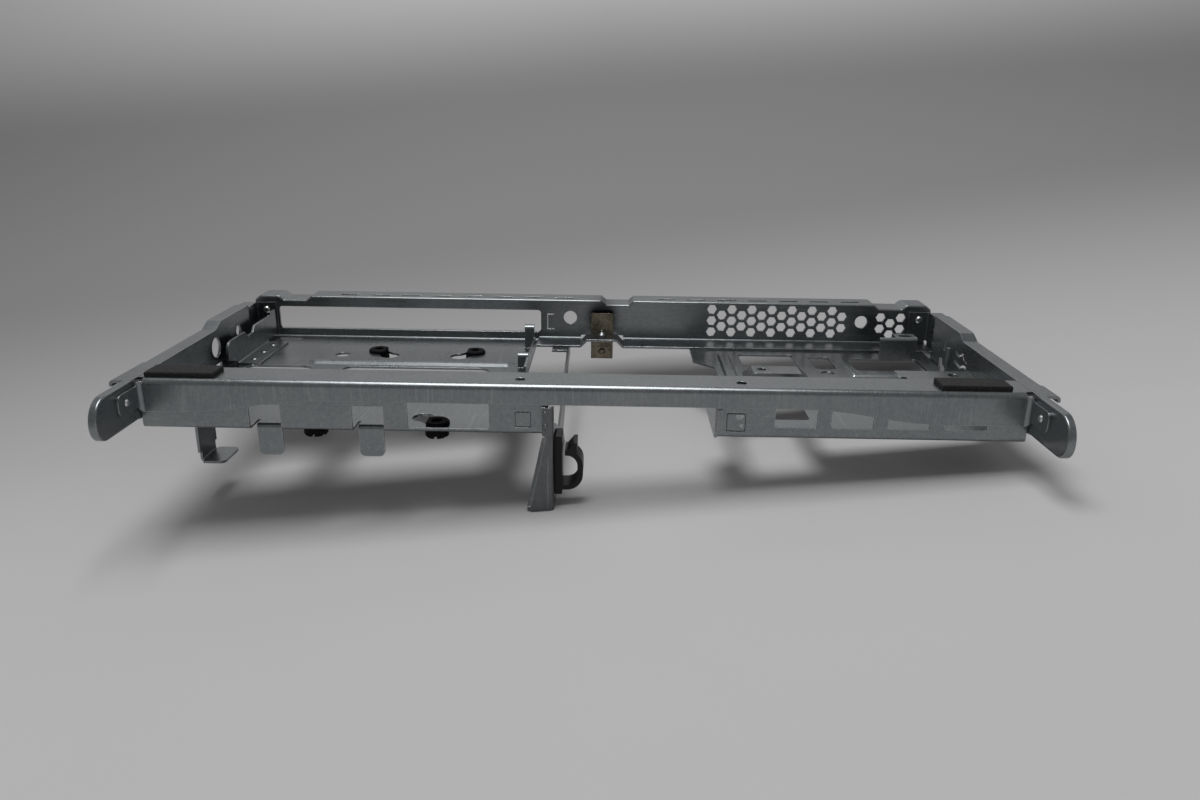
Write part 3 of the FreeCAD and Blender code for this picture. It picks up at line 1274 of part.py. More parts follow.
def bridge():
    """Raised bridge with a front lip before the first shelf opening."""
    front = REAR_FACE - BRIDGE_IN
    crown = TRAY_TOP + BRIDGE_RISE
    path = [
        (BRIDGE_LEFT - SHEET, TRAY_TOP),
        (BRIDGE_LEFT, TRAY_TOP),
        (BRIDGE_LEFT + BRIDGE_SLOPE, crown),
        (BRIDGE_RIGHT - BRIDGE_SLOPE, crown),
        (BRIDGE_RIGHT, TRAY_TOP),
        (BRIDGE_RIGHT + SHEET, TRAY_TOP),
    ]
    body = folded(path, on_xz(front), BACK * BRIDGE_DEPTH, BEND / 2)
    lip_span = (BRIDGE_LEFT + BRIDGE_SLOPE, BRIDGE_RIGHT - BRIDGE_SLOPE)
    body = body.fuse(block(lip_span, (front, front + SHEET), (TRAY_LOW, crown - SHEET / 2)))
    hole = Vector(BRIDGE_HOLE_X, front + BRIDGE_DEPTH / 2, TRAY_TOP)
    return body.cut(rod(BRIDGE_HOLE_R, hole, UP * (BRIDGE_RISE + OVERCUT)))


def post():
    """Tab bent up behind the large shelf opening, its top turned back and slotted."""
    front = REAR_FACE - POST_IN
    top = TRAY_TOP + POST_HEIGHT
    path = [(front, TRAY_LOW), (front, top), (front + POST_LEDGE, top)]
    body = folded(path, on_yz(POST_LEFT), RIGHT * POST_WIDTH)
    ledge_left = POST_LEFT + POST_LEDGE_IN
    beside = block(
        (POST_LEFT - OVERCUT, ledge_left), (front + SHEET, front + 2 * POST_LEDGE), (TRAY_TOP, top)
    )
    slot_left = ledge_left + (POST_WIDTH - POST_LEDGE_IN - POST_SLOT_LENGTH) / 2
    slot_front = front + (POST_LEDGE - POST_SLOT_WIDTH) / 2
    slot = rectangle(
        slot_left,
        slot_left + POST_SLOT_LENGTH,
        slot_front,
        slot_front + POST_SLOT_WIDTH,
        CORNER_ROUND,
    )
    return body.cut([beside, well(slot, top - SHEET, top)])


def guide_bracket():
    """Upright guide riveted to the tray's left edge."""
    horn_top = GUIDE_TOP + GUIDE_HORN_RISE
    path = [(GUIDE_X, horn_top), (GUIDE_X, WALL_FOOT_TOP), (GUIDE_X + GUIDE_FOOT, WALL_FOOT_TOP)]
    body = folded(path, on_xz(GUIDE_FRONT), BACK * (GUIDE_BACK - GUIDE_FRONT))
    notch_front = REAR_FACE - GUIDE_NOTCH_IN
    notch_back = notch_front + GUIDE_NOTCH_WIDTH
    notch_low = GUIDE_TOP - GUIDE_NOTCH_DEEP
    horn_start = GUIDE_BACK - GUIDE_HORN
    clear = WALL_FOOT_TOP + BEND
    side = [
        (GUIDE_FRONT, TRAY_TOP + GUIDE_NOSE_UP),
        (GUIDE_FOOT_FRONT, clear),
        (GUIDE_FOOT_FRONT, TRAY_TOP),
        (GUIDE_FOOT_BACK, TRAY_TOP),
        (GUIDE_FOOT_BACK, clear),
        (GUIDE_BACK, clear),
        (GUIDE_BACK, horn_top, BEND),
        (horn_start, horn_top, BEND),
        (horn_start, GUIDE_TOP),
        (notch_back, GUIDE_TOP),
        (notch_back - GUIDE_NOTCH_DEEP, notch_low),
        (notch_front + GUIDE_NOTCH_DEEP, notch_low),
        (notch_front, GUIDE_TOP),
        (GUIDE_FRONT, GUIDE_TOP, GUIDE_NOSE_ROUND),
    ]
    reach = GUIDE_FOOT + 2 * OVERCUT
    body = body.common(slab(side, on_yz(GUIDE_X - OVERCUT), RIGHT * reach))
    return body.cut([rivet_hole(*line) for line in guide_rivet_lines()]).removeSplitter()


def divider_sides(tab_front):
    """Side view of the divider's plate, from its foot to the tab under the rear wall."""
    strut_low = TRAY_TOP - DIVIDER_STRUT
    clamp_end = CLAMP_FRONT + CLAMP_WIDTH + SHEET
    return [
        (-OVERCUT, 0),
        (DIVIDER_FOOT_LENGTH, 0),
        (DIVIDER_KNEE_BACK, DIVIDER_KNEE),
        (tab_front, strut_low),
        (DIVIDER_TAB_BACK, strut_low),
        (DIVIDER_TAB_BACK, TRAY_TOP),
        (tab_front, TRAY_TOP),
        (DIVIDER_DIP_BACK, TRAY_TOP - DIVIDER_DIP_DROP),
        (clamp_end, TRAY_LOW),
        (UPSTAND_BACK + SHEET, TRAY_LOW),
        (UPSTAND_BACK, DIVIDER_TOP),
        (-OVERCUT, DIVIDER_TOP),
    ]


def divider_taper(left):
    """Cutting body beside the divider's front strip, which narrows to a neck under the tray."""
    head = DIVIDER_X - DIVIDER_HEAD
    side = [
        (left - OVERCUT, DIVIDER_TOP + OVERCUT),
        (head, DIVIDER_TOP + OVERCUT),
        (head, TRAY_LOW),
        (DIVIDER_X - DIVIDER_NECK, TRAY_LOW - SHEET),
        (left, SHEET),
        (left - OVERCUT, SHEET),
    ]
    return slab(side, on_xz(-OVERCUT), BACK * (OVERCUT + 2 * SHEET))


def divider_bracket():
    """Divider hung from the tray's front and the rear wall's foot, with a long foot lip."""
    tab_front = DIVIDER_TAB_BACK - DIVIDER_TAB_LENGTH
    left = DIVIDER_X - DIVIDER_STRIP
    inner = DIVIDER_X - SHEET
    plan = [(DIVIDER_X, DIVIDER_TAB_BACK), (DIVIDER_X, 0), (left, 0)]
    width = DIVIDER_STRIP + 2 * OVERCUT
    profile = slab(divider_sides(tab_front), on_yz(left - OVERCUT), RIGHT * width)
    body = folded(plan, on_xy(0), UP * DIVIDER_TOP).common(profile).cut(divider_taper(left))

    foot_path = [(inner - DIVIDER_FOOT, SHEET), (inner, SHEET), (inner, 2 * SHEET + BEND)]
    foot = folded(foot_path, on_xz(SHEET), BACK * (DIVIDER_FOOT_LENGTH - SHEET))
    foot_side = [
        (0, 0),
        (DIVIDER_FOOT_LENGTH, 0),
        (DIVIDER_KNEE_BACK, DIVIDER_KNEE),
        (0, DIVIDER_KNEE),
    ]
    reach = DIVIDER_FOOT + 2 * OVERCUT
    foot = foot.common(slab(foot_side, on_yz(DIVIDER_X - reach), RIGHT * (reach + OVERCUT)))

    strut_low = TRAY_TOP - DIVIDER_STRUT
    tab_left = DIVIDER_X - DIVIDER_TAB_WIDTH
    tab_path = [(tab_left, TRAY_TOP), (DIVIDER_X, TRAY_TOP), (DIVIDER_X, strut_low)]
    tab = folded(tab_path, on_xz(tab_front), BACK * DIVIDER_TAB_LENGTH)
    room = block(
        (DIVIDER_X - 2 * SHEET, DIVIDER_X + OVERCUT),
        (tab_front, DIVIDER_TAB_BACK + OVERCUT),
        (strut_low, TRAY_TOP + OVERCUT),
    )
    body = body.cut(room).fuse([foot, tab])
    return body.cut([rivet_hole(*line) for line in divider_rivet_lines()]).removeSplitter()


def cable_clamp():
    """Nylon cable clamp: a base on the divider and a hooked loop with a pointed latch."""
    base_face = DIVIDER_X + CLAMP_BASE
    outer = base_face + LOOP_REACH
    run = BACK * CLAMP_WIDTH
    place = on_xz(CLAMP_FRONT)
    base = slab(rectangle(DIVIDER_X, base_face, CLAMP_LOW, CLAMP_HIGH, BEND), place, run)
    ring = [
        (base_face - BEND, LOOP_LOW),
        (outer, LOOP_LOW, LOOP_ROUND),
        (outer, LOOP_HIGH, LOOP_ROUND),
        (base_face - BEND, LOOP_HIGH),
    ]
    inside = outer - LOOP_SIDE
    inside_round = LOOP_ROUND - LOOP_SIDE
    hole = [
        (base_face, LOOP_LOW + LOOP_WALL),
        (inside, LOOP_LOW + LOOP_WALL, inside_round),
        (inside, LOOP_HIGH - LOOP_WALL, inside_round),
        (base_face, LOOP_HIGH - LOOP_WALL),
    ]
    latch_low = LOOP_HIGH - LOOP_WALL / 2
    latch_high = LOOP_HIGH + LATCH_RISE
    latch_left = base_face + LOOP_SIDE / 2
    latch_right = latch_left + LATCH_FOOT
    latch = [
        (latch_left, latch_low),
        (latch_right, latch_low),
        (latch_right, latch_high),
        (latch_right - LATCH_TIP, latch_high),
    ]
    gap_span = (base_face, base_face + LOOP_SIDE / 2)
    gap = block(gap_span, (0, CLAMP_FRONT + 2 * CLAMP_WIDTH), (LOOP_HIGH - 2 * LOOP_WALL, LOOP_HIGH))
    loop = slab(ring, place, run).cut([slab(hole, place, run), gap])
    return base.fuse([loop, slab(latch, place, run)]).removeSplitter()


def pieces():
    """Every piece by its node name, in the frame of the rail's front face."""
    ear = rivet(*ear_rivet_line())
    corner = rivet(*corner_rivet_line())
    nodes = {
        "front_rail": front_rail(),
        "rear_wall": rear_wall(),
        "left_arm": left_arm(),
        "right_arm": right_arm(),
        "drive_tray": drive_tray(),
        "side_shelf": side_shelf(),
        "guide_bracket": guide_bracket(),
        "divider_bracket": divider_bracket(),
        "cable_clamp": cable_clamp(),
        "left_foam_pad": foam_pad(PAD_LEFT),
        "right_foam_pad": foam_pad(PAD_RIGHT),
        "spring_clip": spring_clip(),
        "clip_screw": clip_screw(),
        "right_ear_rivet": ear,
        "left_ear_rivet": mirrored(ear),
        "right_corner_rivet": corner,
        "left_corner_rivet": mirrored(corner),
        "guide_rivets": Part.makeCompound([rivet(*line) for line in guide_rivet_lines()]),
        "divider_rivets": Part.makeCompound([rivet(*line) for line in divider_rivet_lines()]),
    }
    names = ("front_left", "rear_left", "front_right", "rear_right")
    for name, place in zip(names, drive_holes()):
        nodes[name + "_grommet"] = grommet(*place)
    return nodes


def main():
    """Centre every piece front to back and write it to its own file."""
    os.makedirs("parts", exist_ok=True)
    for name, shape in pieces().items():
        solids = Part.makeCompound(shape.Solids) if len(shape.Solids) > 1 else shape.Solids[0]
        placed = solids.translated(BACK * -MIDDLE_Y)
        placed.exportStep(os.path.join("parts", name + ".step"))
        state = "valid" if placed.isValid() else "not valid"
        print(name, len(placed.Solids), state, round(placed.Volume, 1))


main()
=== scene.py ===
"""Looks of a folded-steel drive cage: sheet, rubber, nylon and foam finishes, and the studio around it.

Lengths are in metres, angles in degrees and colours in linear light.
"""

import logging
import math
from dataclasses import dataclass
from enum import Enum
from typing import Callable, Optional, Union

import bpy
from mathutils import Matrix, Vector

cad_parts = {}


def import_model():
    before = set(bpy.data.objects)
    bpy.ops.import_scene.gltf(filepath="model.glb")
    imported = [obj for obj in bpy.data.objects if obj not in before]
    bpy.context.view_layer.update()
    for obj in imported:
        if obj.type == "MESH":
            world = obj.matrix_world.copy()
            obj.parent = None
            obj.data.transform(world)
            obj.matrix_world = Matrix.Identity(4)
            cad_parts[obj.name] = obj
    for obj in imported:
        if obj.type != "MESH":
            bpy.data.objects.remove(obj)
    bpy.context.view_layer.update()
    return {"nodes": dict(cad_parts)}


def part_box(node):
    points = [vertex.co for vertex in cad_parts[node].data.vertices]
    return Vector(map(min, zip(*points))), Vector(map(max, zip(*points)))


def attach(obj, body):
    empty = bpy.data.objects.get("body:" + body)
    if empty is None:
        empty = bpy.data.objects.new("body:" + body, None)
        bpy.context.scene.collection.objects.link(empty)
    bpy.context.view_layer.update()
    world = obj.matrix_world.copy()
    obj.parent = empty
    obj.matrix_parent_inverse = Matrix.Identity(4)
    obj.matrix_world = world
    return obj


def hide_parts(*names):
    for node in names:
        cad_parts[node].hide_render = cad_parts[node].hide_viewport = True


LOG = logging.getLogger("drive_cage")
MM = 0.001
# A corner as near as this to a level counts as on it.
SLACK = 0.1 * MM
QUARTER_TURN = math.pi / 2
BODY = "root"

Colour = tuple[float, float, float]
Point = tuple[float, float, float]
Span = tuple[float, float]
Value = Union["Signal", float, tuple]

# The Mix node's sockets when it mixes colours.
MIX_SHARE = 0
MIX_FIRST = 6
MIX_SECOND = 7
MIX_RESULT = 2
# Rays that look for edges and shaded creases round a point.
RAY_SAMPLES = 4
# The middle of a pattern's range.
MIDDLE = 0.5
SPOT_SPAN: Span = (0.35, 1.0)
CREASE_SHADE_SPAN: Span = (0.25, 0.95)
# Near-black colour of painted shade: the spring clip's painted shadow and the painted shade in creases.
PAINTED_SHADE: Colour = (0.02, 0.021, 0.022)
# Where the painted shadow that the spring clip casts on the rear wall is darkest.
CLIP_TOP: Point = (5.3 * MM, 72.0 * MM, 42.5 * MM)
SIDES = ("left", "right")
ENDS = ("front", "rear")
RIVET_SPOTS = ("ear", "corner")


class Grain(Enum):
    """The way the rolling marks of a sheet run, as the stretch of its noise along X, Y and Z."""

    ALONG_X = (0.05, 1.0, 1.0)
    ALONG_Y = (1.0, 0.05, 1.0)
    ALONG_Z = (1.0, 1.0, 0.05)


@dataclass(frozen=True)
class Noise:
    """A noise pattern: its features in a metre, its finer layers and how far it distorts."""

    scale: float
    detail: float = 2.0
    twist: float = 0.0


@dataclass(frozen=True)
class Relief:
    """A raised texture: the height of a pattern's full range and how much of it shows."""

    depth: float
    strength: float


class Signal:
    """A node's output socket, on which Python arithmetic adds Math nodes."""

    def __init__(self, recipe: "Recipe", socket: bpy.types.NodeSocket) -> None:
        """Keeps the socket and the recipe that its nodes go into."""
        self.recipe = recipe
        self.socket = socket

    def _math(self, operation: str, first: Value, second: Value) -> "Signal":
        """Adds one Math node.

        Args:
            operation: The Math node's operation.
            first: Its first value or link.
            second: Its second value or link.

        Returns:
            The result as a new signal.
        """
        return self.recipe.node("ShaderNodeMath", {"operation": operation}, {0: first, 1: second})

    def __add__(self, other: Value) -> "Signal":
        """Adds a value or a signal."""
        return self._math("ADD", self, other)

    __radd__ = __add__

    def __sub__(self, other: Value) -> "Signal":
        """Takes a value or a signal away."""
        return self._math("SUBTRACT", self, other)

    def __rsub__(self, other: Value) -> "Signal":
        """Takes this signal away from a value."""
        return self._math("SUBTRACT", other, self)

    def __mul__(self, other: Value) -> "Signal":
        """Multiplies by a value or a signal."""
        return self._math("MULTIPLY", self, other)

    __rmul__ = __mul__

    def __abs__(self) -> "Signal":
        """Drops the sign."""
        return self.recipe.node("ShaderNodeMath", {"operation": "ABSOLUTE"}, {0: self})

    def ramp(self, span: Span) -> "Signal":
        """Rises smoothly from 0 to 1.

        Args:
            span: The two values that give 0 and 1.

        Returns:
            The ramped signal.
        """
        low, high = span
        sockets = {"Value": self, "From Min": low, "From Max": high}
        return self.recipe.node("ShaderNodeMapRange", {"interpolation_type": "SMOOTHSTEP"}, sockets)


class Recipe:
    """The node tree of one material, built node by node."""

    def __init__(self, name: str) -> None:
        """Starts an empty material.

        Args:
            name: The material's name.
        """
        self.material = bpy.data.materials.new(name)
        self.material.use_nodes = True
        self.tree = self.material.node_tree
        self.tree.nodes.clear()

    def node(self, kind: str, settings: dict, sockets: dict, output: Union[int, str] = 0) -> Signal:
        """Adds any node.

        Args:
            kind: The node's type.
            settings: Its own properties, set before its sockets.
            sockets: Values or signals by socket name or index.
            output: The output that is wanted.

        Returns:
            That output as a signal.
        """
        node = self.tree.nodes.new(kind)
        for key, setting in settings.items():
            setattr(node, key, setting)
        for key, value in sockets.items():
            if isinstance(value, Signal):
                self.tree.links.new(value.socket, node.inputs[key])
            else:
                node.inputs[key].default_value = value
        return Signal(self, node.outputs[output])

    def place(self) -> Signal:
        """Gives the point on the piece, in the shared frame."""
        return self.node("ShaderNodeTexCoord", {}, {}, "Object")

    def along(self, axis: str) -> Signal:
        """Gives how far the point lies along X, Y or Z."""
        return self.node("ShaderNodeSeparateXYZ", {}, {"Vector": self.place()}, axis)

    def stretched(self, grain: Grain) -> Signal:
        """Gives the point, stretched along the way that a sheet was rolled."""
        return self.node("ShaderNodeMapping", {}, {"Vector": self.place(), "Scale": grain.value})

    def noise(self, where: Signal, pattern: Noise) -> Signal:
        """Adds a noise pattern.

        Args:
            where: The point that it reads.
            pattern: Its scale, layers and distortion.

        Returns:
            The pattern, from 0 to 1.
        """
        shape = {"Scale": pattern.scale, "Detail": pattern.detail, "Distortion": pattern.twist}
        return self.node("ShaderNodeTexNoise", {}, {"Vector": where, **shape}, "Fac")

    def cells(self, where: Signal, scale: float) -> Signal:
        """Adds a pattern of cells.

        Args:
            where: The point that it reads.
            scale: How many cells fit in a metre.

        Returns:
            The distance from the middle of the nearest cell.
        """
        sockets = {"Vector": where, "Scale": scale}
        return self.node("ShaderNodeTexVoronoi", {"feature": "F1"}, sockets, "Distance")

    def blend(self, share: Value, first: Value, second: Value) -> Signal:
        """Mixes two colours.

        Args:
            share: How much of the second colour shows.
            first: The first colour.
            second: The second colour.

        Returns:
            The mixed colour.
        """
        sockets = {MIX_SHARE: share, MIX_FIRST: opaque(first), MIX_SECOND: opaque(second)}
        return self.node("ShaderNodeMix", {"data_type": "RGBA"}, sockets, MIX_RESULT)

    def spot(self, centre: Point, reach: Point) -> Signal:
        """Marks a soft oval patch.

        Args:
            centre: Its middle.
            reach: How far it spreads along X, Y and Z.

        Returns:
            A mask that is 1 in the middle and 0 outside.
        """
        shares = tuple(1.0 / span for span in reach)
        apart = self.node("ShaderNodeVectorMath", {"operation": "SUBTRACT"}, {0: self.place(), 1: centre})
        scaled = self.node("ShaderNodeVectorMath", {"operation": "MULTIPLY"}, {0: apart, 1: shares})
        away = self.node("ShaderNodeVectorMath", {"operation": "LENGTH"}, {0: scaled}, "Value")
        return 1.0 - away.ramp(SPOT_SPAN)

    def eased(self, radius: float) -> Signal:
        """Gives a normal that rounds sharp edges over a radius."""
        return self.node("ShaderNodeBevel", {"samples": RAY_SAMPLES}, {"Radius": radius})

    def edges(self, reach: float, span: Span) -> Signal:
        """Marks the sharp edges of a piece.

        Args:
            reach: How far the mark spreads from an edge.
            span: The turns of the normal that give 0 and 1.

        Returns:
            A mask that is 1 on the edges.
        """
        flat = self.node("ShaderNodeNewGeometry", {}, {}, "True Normal")
        sockets = {0: self.eased(reach), 1: flat}
        likeness = self.node("ShaderNodeVectorMath", {"operation": "DOT_PRODUCT"}, sockets, "Value")
        return (1.0 - likeness).ramp(span)

    def crease_shade(self, reach: float) -> Signal:
        """Marks the creases and narrow gaps between pieces, where ambient occlusion finds them enclosed,
        for painted shade.

        Args:
            reach: How far the mark spreads from a crease.

        Returns:
            A mask that is 1 deep in a crease.
        """
        settings = {"samples": RAY_SAMPLES, "only_local": False}
        opened = self.node("ShaderNodeAmbientOcclusion", settings, {"Distance": reach}, "AO")
        return (1.0 - opened).ramp(CREASE_SHADE_SPAN)

    def bump(self, height: Signal, relief: Relief, normal: Optional[Signal] = None) -> Signal:
        """Raises a surface by a pattern.

        Args:
            height: The pattern.
            relief: How high it stands.
            normal: The normal that it starts from, or none for the surface's own.

        Returns:
            The bumped normal.
        """
        sockets = {"Height": height, "Distance": relief.depth, "Strength": relief.strength}
        if normal is not None:
            sockets["Normal"] = normal
        return self.node("ShaderNodeBump", {}, sockets)

    def finish(self, sockets: dict) -> bpy.types.Material:
        """Ends the material with its surface shader.

        Args:
            sockets: Values or signals for the shader's sockets.

        Returns:
            The finished material.
        """
        shader = self.node("ShaderNodeBsdfPrincipled", {}, sockets)
        output = self.tree.nodes.new("ShaderNodeOutputMaterial")
        self.tree.links.new(shader.socket, output.inputs["Surface"])
        return self.material


def opaque(colour: Value) -> Value:
    """Gives a plain colour its alpha and leaves a signal as it is."""
    return colour if isinstance(colour, Signal) else (*colour, 1.0)


@dataclass(frozen=True)
class SheetSteel:
    """Zinc-coated sheet with rolling marks, cloudy zinc, hairline scratches, bright cut edges, painted
    shade in creases and an optional painted shadow spot.

    A tone says how much a pattern weighs in the zinc's colour, a share how far a mark covers what lies
    under it, and a sway how far a pattern moves the roughness.
    """

    name: str
    grain: Grain
    dark: Colour = (0.19, 0.209, 0.217)
    light: Colour = (0.30, 0.316, 0.322)
    bright: Colour = (0.72, 0.74, 0.75)
    roughness: float = 0.29
    rolling: Noise = Noise(1900.0)
    rolling_tone: float = 0.34
    rolling_sway: float = 0.09
    cloud: Noise = Noise(42.0, detail=4.0, twist=0.6)
    cloud_tone: float = 0.45
    cloud_sway: float = 0.12
    spangle: Noise = Noise(620.0, detail=1.0)
    spangle_tone: float = 0.30
    spangle_height: float = 0.8
    tone_span: Span = (0.25, 0.85)
    scratch: Noise = Noise(700.0, detail=0.0, twist=0.8)
    scratch_span: Span = (0.70, 0.78)
    scratch_share: float = 0.10
    edge_reach: float = 0.35 * MM
    edge_span: Span = (0.01, 0.22)
    edge_share: float = 0.75
    edge_sway: float = 0.10
    edge_round: float = 0.25 * MM
    # How far and how dark the painted shade in creases and gaps reaches.
    crease_shade_reach: float = 2.2 * MM
    crease_shade_share: float = 0.75
    # A soft painted shadow round a point, such as the one the spring clip casts on the wall: its middle,
    # reach and darkness.
    shadow_spot: Optional[Point] = None
    shadow_spot_reach: Point = (10.5 * MM, 30.0 * MM, 11.0 * MM)
    shadow_spot_share: float = 0.9
    relief: Relief = Relief(0.02 * MM, strength=0.07)

    def material(self) -> bpy.types.Material:
        """Builds the finish.

        Returns:
            The finished material.
        """
        recipe = Recipe(self.name)
        rolled = recipe.noise(recipe.stretched(self.grain), self.rolling)
        cloud = recipe.noise(recipe.place(), self.cloud)
        spangle = recipe.noise(recipe.place(), self.spangle)
        scratch = recipe.noise(recipe.stretched(self.grain), self.scratch).ramp(self.scratch_span)
        edge = recipe.edges(self.edge_reach, self.edge_span)
        tone = self.rolling_tone * rolled + self.cloud_tone * cloud + self.spangle_tone * spangle
        zinc = recipe.blend(tone.ramp(self.tone_span), self.dark, self.light)
        # Paints the spring clip's shadow onto the zinc as a soft dark patch.
        if self.shadow_spot is not None:
            patch = recipe.spot(self.shadow_spot, self.shadow_spot_reach)
            zinc = recipe.blend(self.shadow_spot_share * patch, zinc, PAINTED_SHADE)
        marked = recipe.blend(self.scratch_share * scratch, zinc, self.bright)
        worn = recipe.blend(self.edge_share * edge, marked, self.bright)
        # Painted shade: creases and gaps between pieces are darkened where ambient occlusion finds them
        # enclosed.
        colour = recipe.blend(self.crease_shade_share * recipe.crease_shade(self.crease_shade_reach), worn, PAINTED_SHADE)
        uneven = self.rolling_sway * (rolled - MIDDLE) + self.cloud_sway * (cloud - MIDDLE)
        roughness = self.roughness + uneven - self.edge_sway * edge
        height = rolled + self.spangle_height * spangle
        normal = recipe.bump(height, self.relief, recipe.eased(self.edge_round))
        sockets = {"Base Color": colour, "Roughness": roughness, "Metallic": 1.0, "Normal": normal}
        return recipe.finish(sockets)


@dataclass(frozen=True)
class BareMetal:
    """Small pressed or turned metal with fine tool marks and worn edges."""

    name: str
    tone: Colour
    worn: Colour
    roughness: float
    speck: Noise = Noise(900.0, detail=3.0)
    speck_tone: float = 0.5
    speck_sway: float = 0.2
    cloud: Noise = Noise(160.0, detail=3.0, twist=0.5)
    cloud_tone: float = 0.5
    tone_span: Span = (0.3, 0.7)
    edge_reach: float = 0.2 * MM
    edge_span: Span = (0.01, 0.25)
    edge_share: float = 0.6
    edge_round: float = 0.15 * MM
    relief: Relief = Relief(0.02 * MM, strength=0.3)

    def material(self) -> bpy.types.Material:
        """Builds the finish.

        Returns:
            The finished material.
        """
        recipe = Recipe(self.name)
        speck = recipe.noise(recipe.place(), self.speck)
        cloud = recipe.noise(recipe.place(), self.cloud)
        edge = recipe.edges(self.edge_reach, self.edge_span)
        tone = self.cloud_tone * cloud + self.speck_tone * speck
        aged = recipe.blend(tone.ramp(self.tone_span), self.tone, self.worn)
        colour = recipe.blend(self.edge_share * edge, aged, self.worn)
        roughness = self.roughness + self.speck_sway * (speck - MIDDLE)
        normal = recipe.bump(speck, self.relief, recipe.eased(self.edge_round))
        sockets = {"Base Color": colour, "Roughness": roughness, "Metallic": 1.0, "Normal": normal}
        return recipe.finish(sockets)


@dataclass(frozen=True)
class Moulded:
    """Moulded rubber or nylon with a dusty bloom, moulding texture and rubbed edges."""

    name: str
    tone: Colour
    bloom: Colour
    roughness: float
    texture: Noise
    gloss: float = 0.3
    texture_sway: float = 0.15
    dust: Noise = Noise(210.0, detail=4.0, twist=0.4)
    dust_span: Span = (0.45, 0.8)
    dust_share: float = 0.55
    dust_sway: float = 0.08
    edge_reach: float = 0.25 * MM
    edge_span: Span = (0.02, 0.3)
    edge_share: float = 0.5
    edge_round: float = 0.2 * MM
    relief: Relief = Relief(0.04 * MM, strength=0.5)

    def material(self) -> bpy.types.Material:
        """Builds the finish.

        Returns:
            The finished material.
        """
        recipe = Recipe(self.name)
        dust = recipe.noise(recipe.place(), self.dust).ramp(self.dust_span)
        fine = recipe.noise(recipe.place(), self.texture)
        edge = recipe.edges(self.edge_reach, self.edge_span)
        dusty = recipe.blend(self.dust_share * dust, self.tone, self.bloom)
        colour = recipe.blend(self.edge_share * edge, dusty, self.bloom)
        roughness = self.roughness + self.texture_sway * (fine - MIDDLE) + self.dust_sway * dust
        normal = recipe.bump(fine, self.relief, recipe.eased(self.edge_round))
        sockets = {"Base Color": colour, "Roughness": roughness, "Metallic": 0.0, "Normal": normal}
        return recipe.finish({**sockets, "Specular IOR Level": self.gloss})


@dataclass(frozen=True)
class PadFoam:
    """Black pad foam with fine cells and a greyer rubbed skin."""

    name: str
    pore: Colour
    skin: Colour
    roughness: float = 0.86
    cells_per_metre: float = 1500.0
    coarse: Noise = Noise(260.0, detail=3.0)
    coarse_tone: float = 0.4
    coarse_sway: float = 0.12
    skin_span: Span = (0.15, 0.75)
    relief: Relief = Relief(0.25 * MM, strength=0.7)

    def material(self) -> bpy.types.Material:
        """Builds the finish.

        Returns:
            The finished material.
        """
        recipe = Recipe(self.name)
        cell = recipe.cells(recipe.place(), self.cells_per_metre)
        coarse = recipe.noise(recipe.place(), self.coarse)
        skin = (cell + self.coarse_tone * (coarse - MIDDLE)).ramp(self.skin_span)
        colour = recipe.blend(skin, self.pore, self.skin)
        roughness = self.roughness + self.coarse_sway * (coarse - MIDDLE)
        normal = recipe.bump(cell, self.relief)
        sockets = {"Base Color": colour, "Roughness": roughness, "Metallic": 0.0, "Normal": normal}
        return recipe.finish(sockets)


@dataclass(frozen=True)
class Paper:
    """Matt paper of the studio sweep, with light and shade painted into its colour: painted light in
    front, a painted shaded band behind the cage, painted light again far back, and painted darker towards
    both sides.

    The painted shaded band runs askew. A span gives the depths between which one tone turns into the
    next, a skew how far they shift across the sweep, and the lift how far the far one comes forward at
    both sides.
    """

    name: str = "sweep_paper"
    near: Colour = (0.56, 0.555, 0.558)
    middle: Colour = (0.27, 0.268, 0.272)
    far: Colour = (0.86, 0.855, 0.862)
    far_side: Colour = (0.70, 0.695, 0.702)
    near_span: Span = (-0.10, 0.35)
    near_skew: float = 0.16
    far_span: Span = (0.75, 1.25)
    far_skew: float = 0.08
    far_lift: float = 0.06
    side_span: Span = (0.2, 1.3)
    fibre: Noise = Noise(30.0, detail=3.0)
    fibre_share: float = 0.03
    roughness: float = 0.95
    gloss: float = 0.1

    def material(self) -> bpy.types.Material:
        """Builds the finish.

        Returns:
            The finished material.
        """
        recipe = Recipe(self.name)
        back = recipe.along("Y")
        across = recipe.along("X")
        aside = abs(across)
        # Painted light and shade: the tone follows depth and side across the sweep, as light falls on it.
        depth = back - self.near_skew * across
        front = recipe.blend(depth.ramp(self.near_span), self.near, self.middle)
        height = back + self.far_lift * aside + self.far_skew * across
        far = recipe.blend(aside.ramp(self.side_span), self.far, self.far_side)
        tone = recipe.blend(height.ramp(self.far_span), front, far)
        fibre = recipe.noise(recipe.place(), self.fibre)
        colour = recipe.blend(self.fibre_share * fibre, tone, self.middle)
        sockets = {"Base Color": colour, "Roughness": self.roughness, "Specular IOR Level": self.gloss}
        return recipe.finish(sockets)


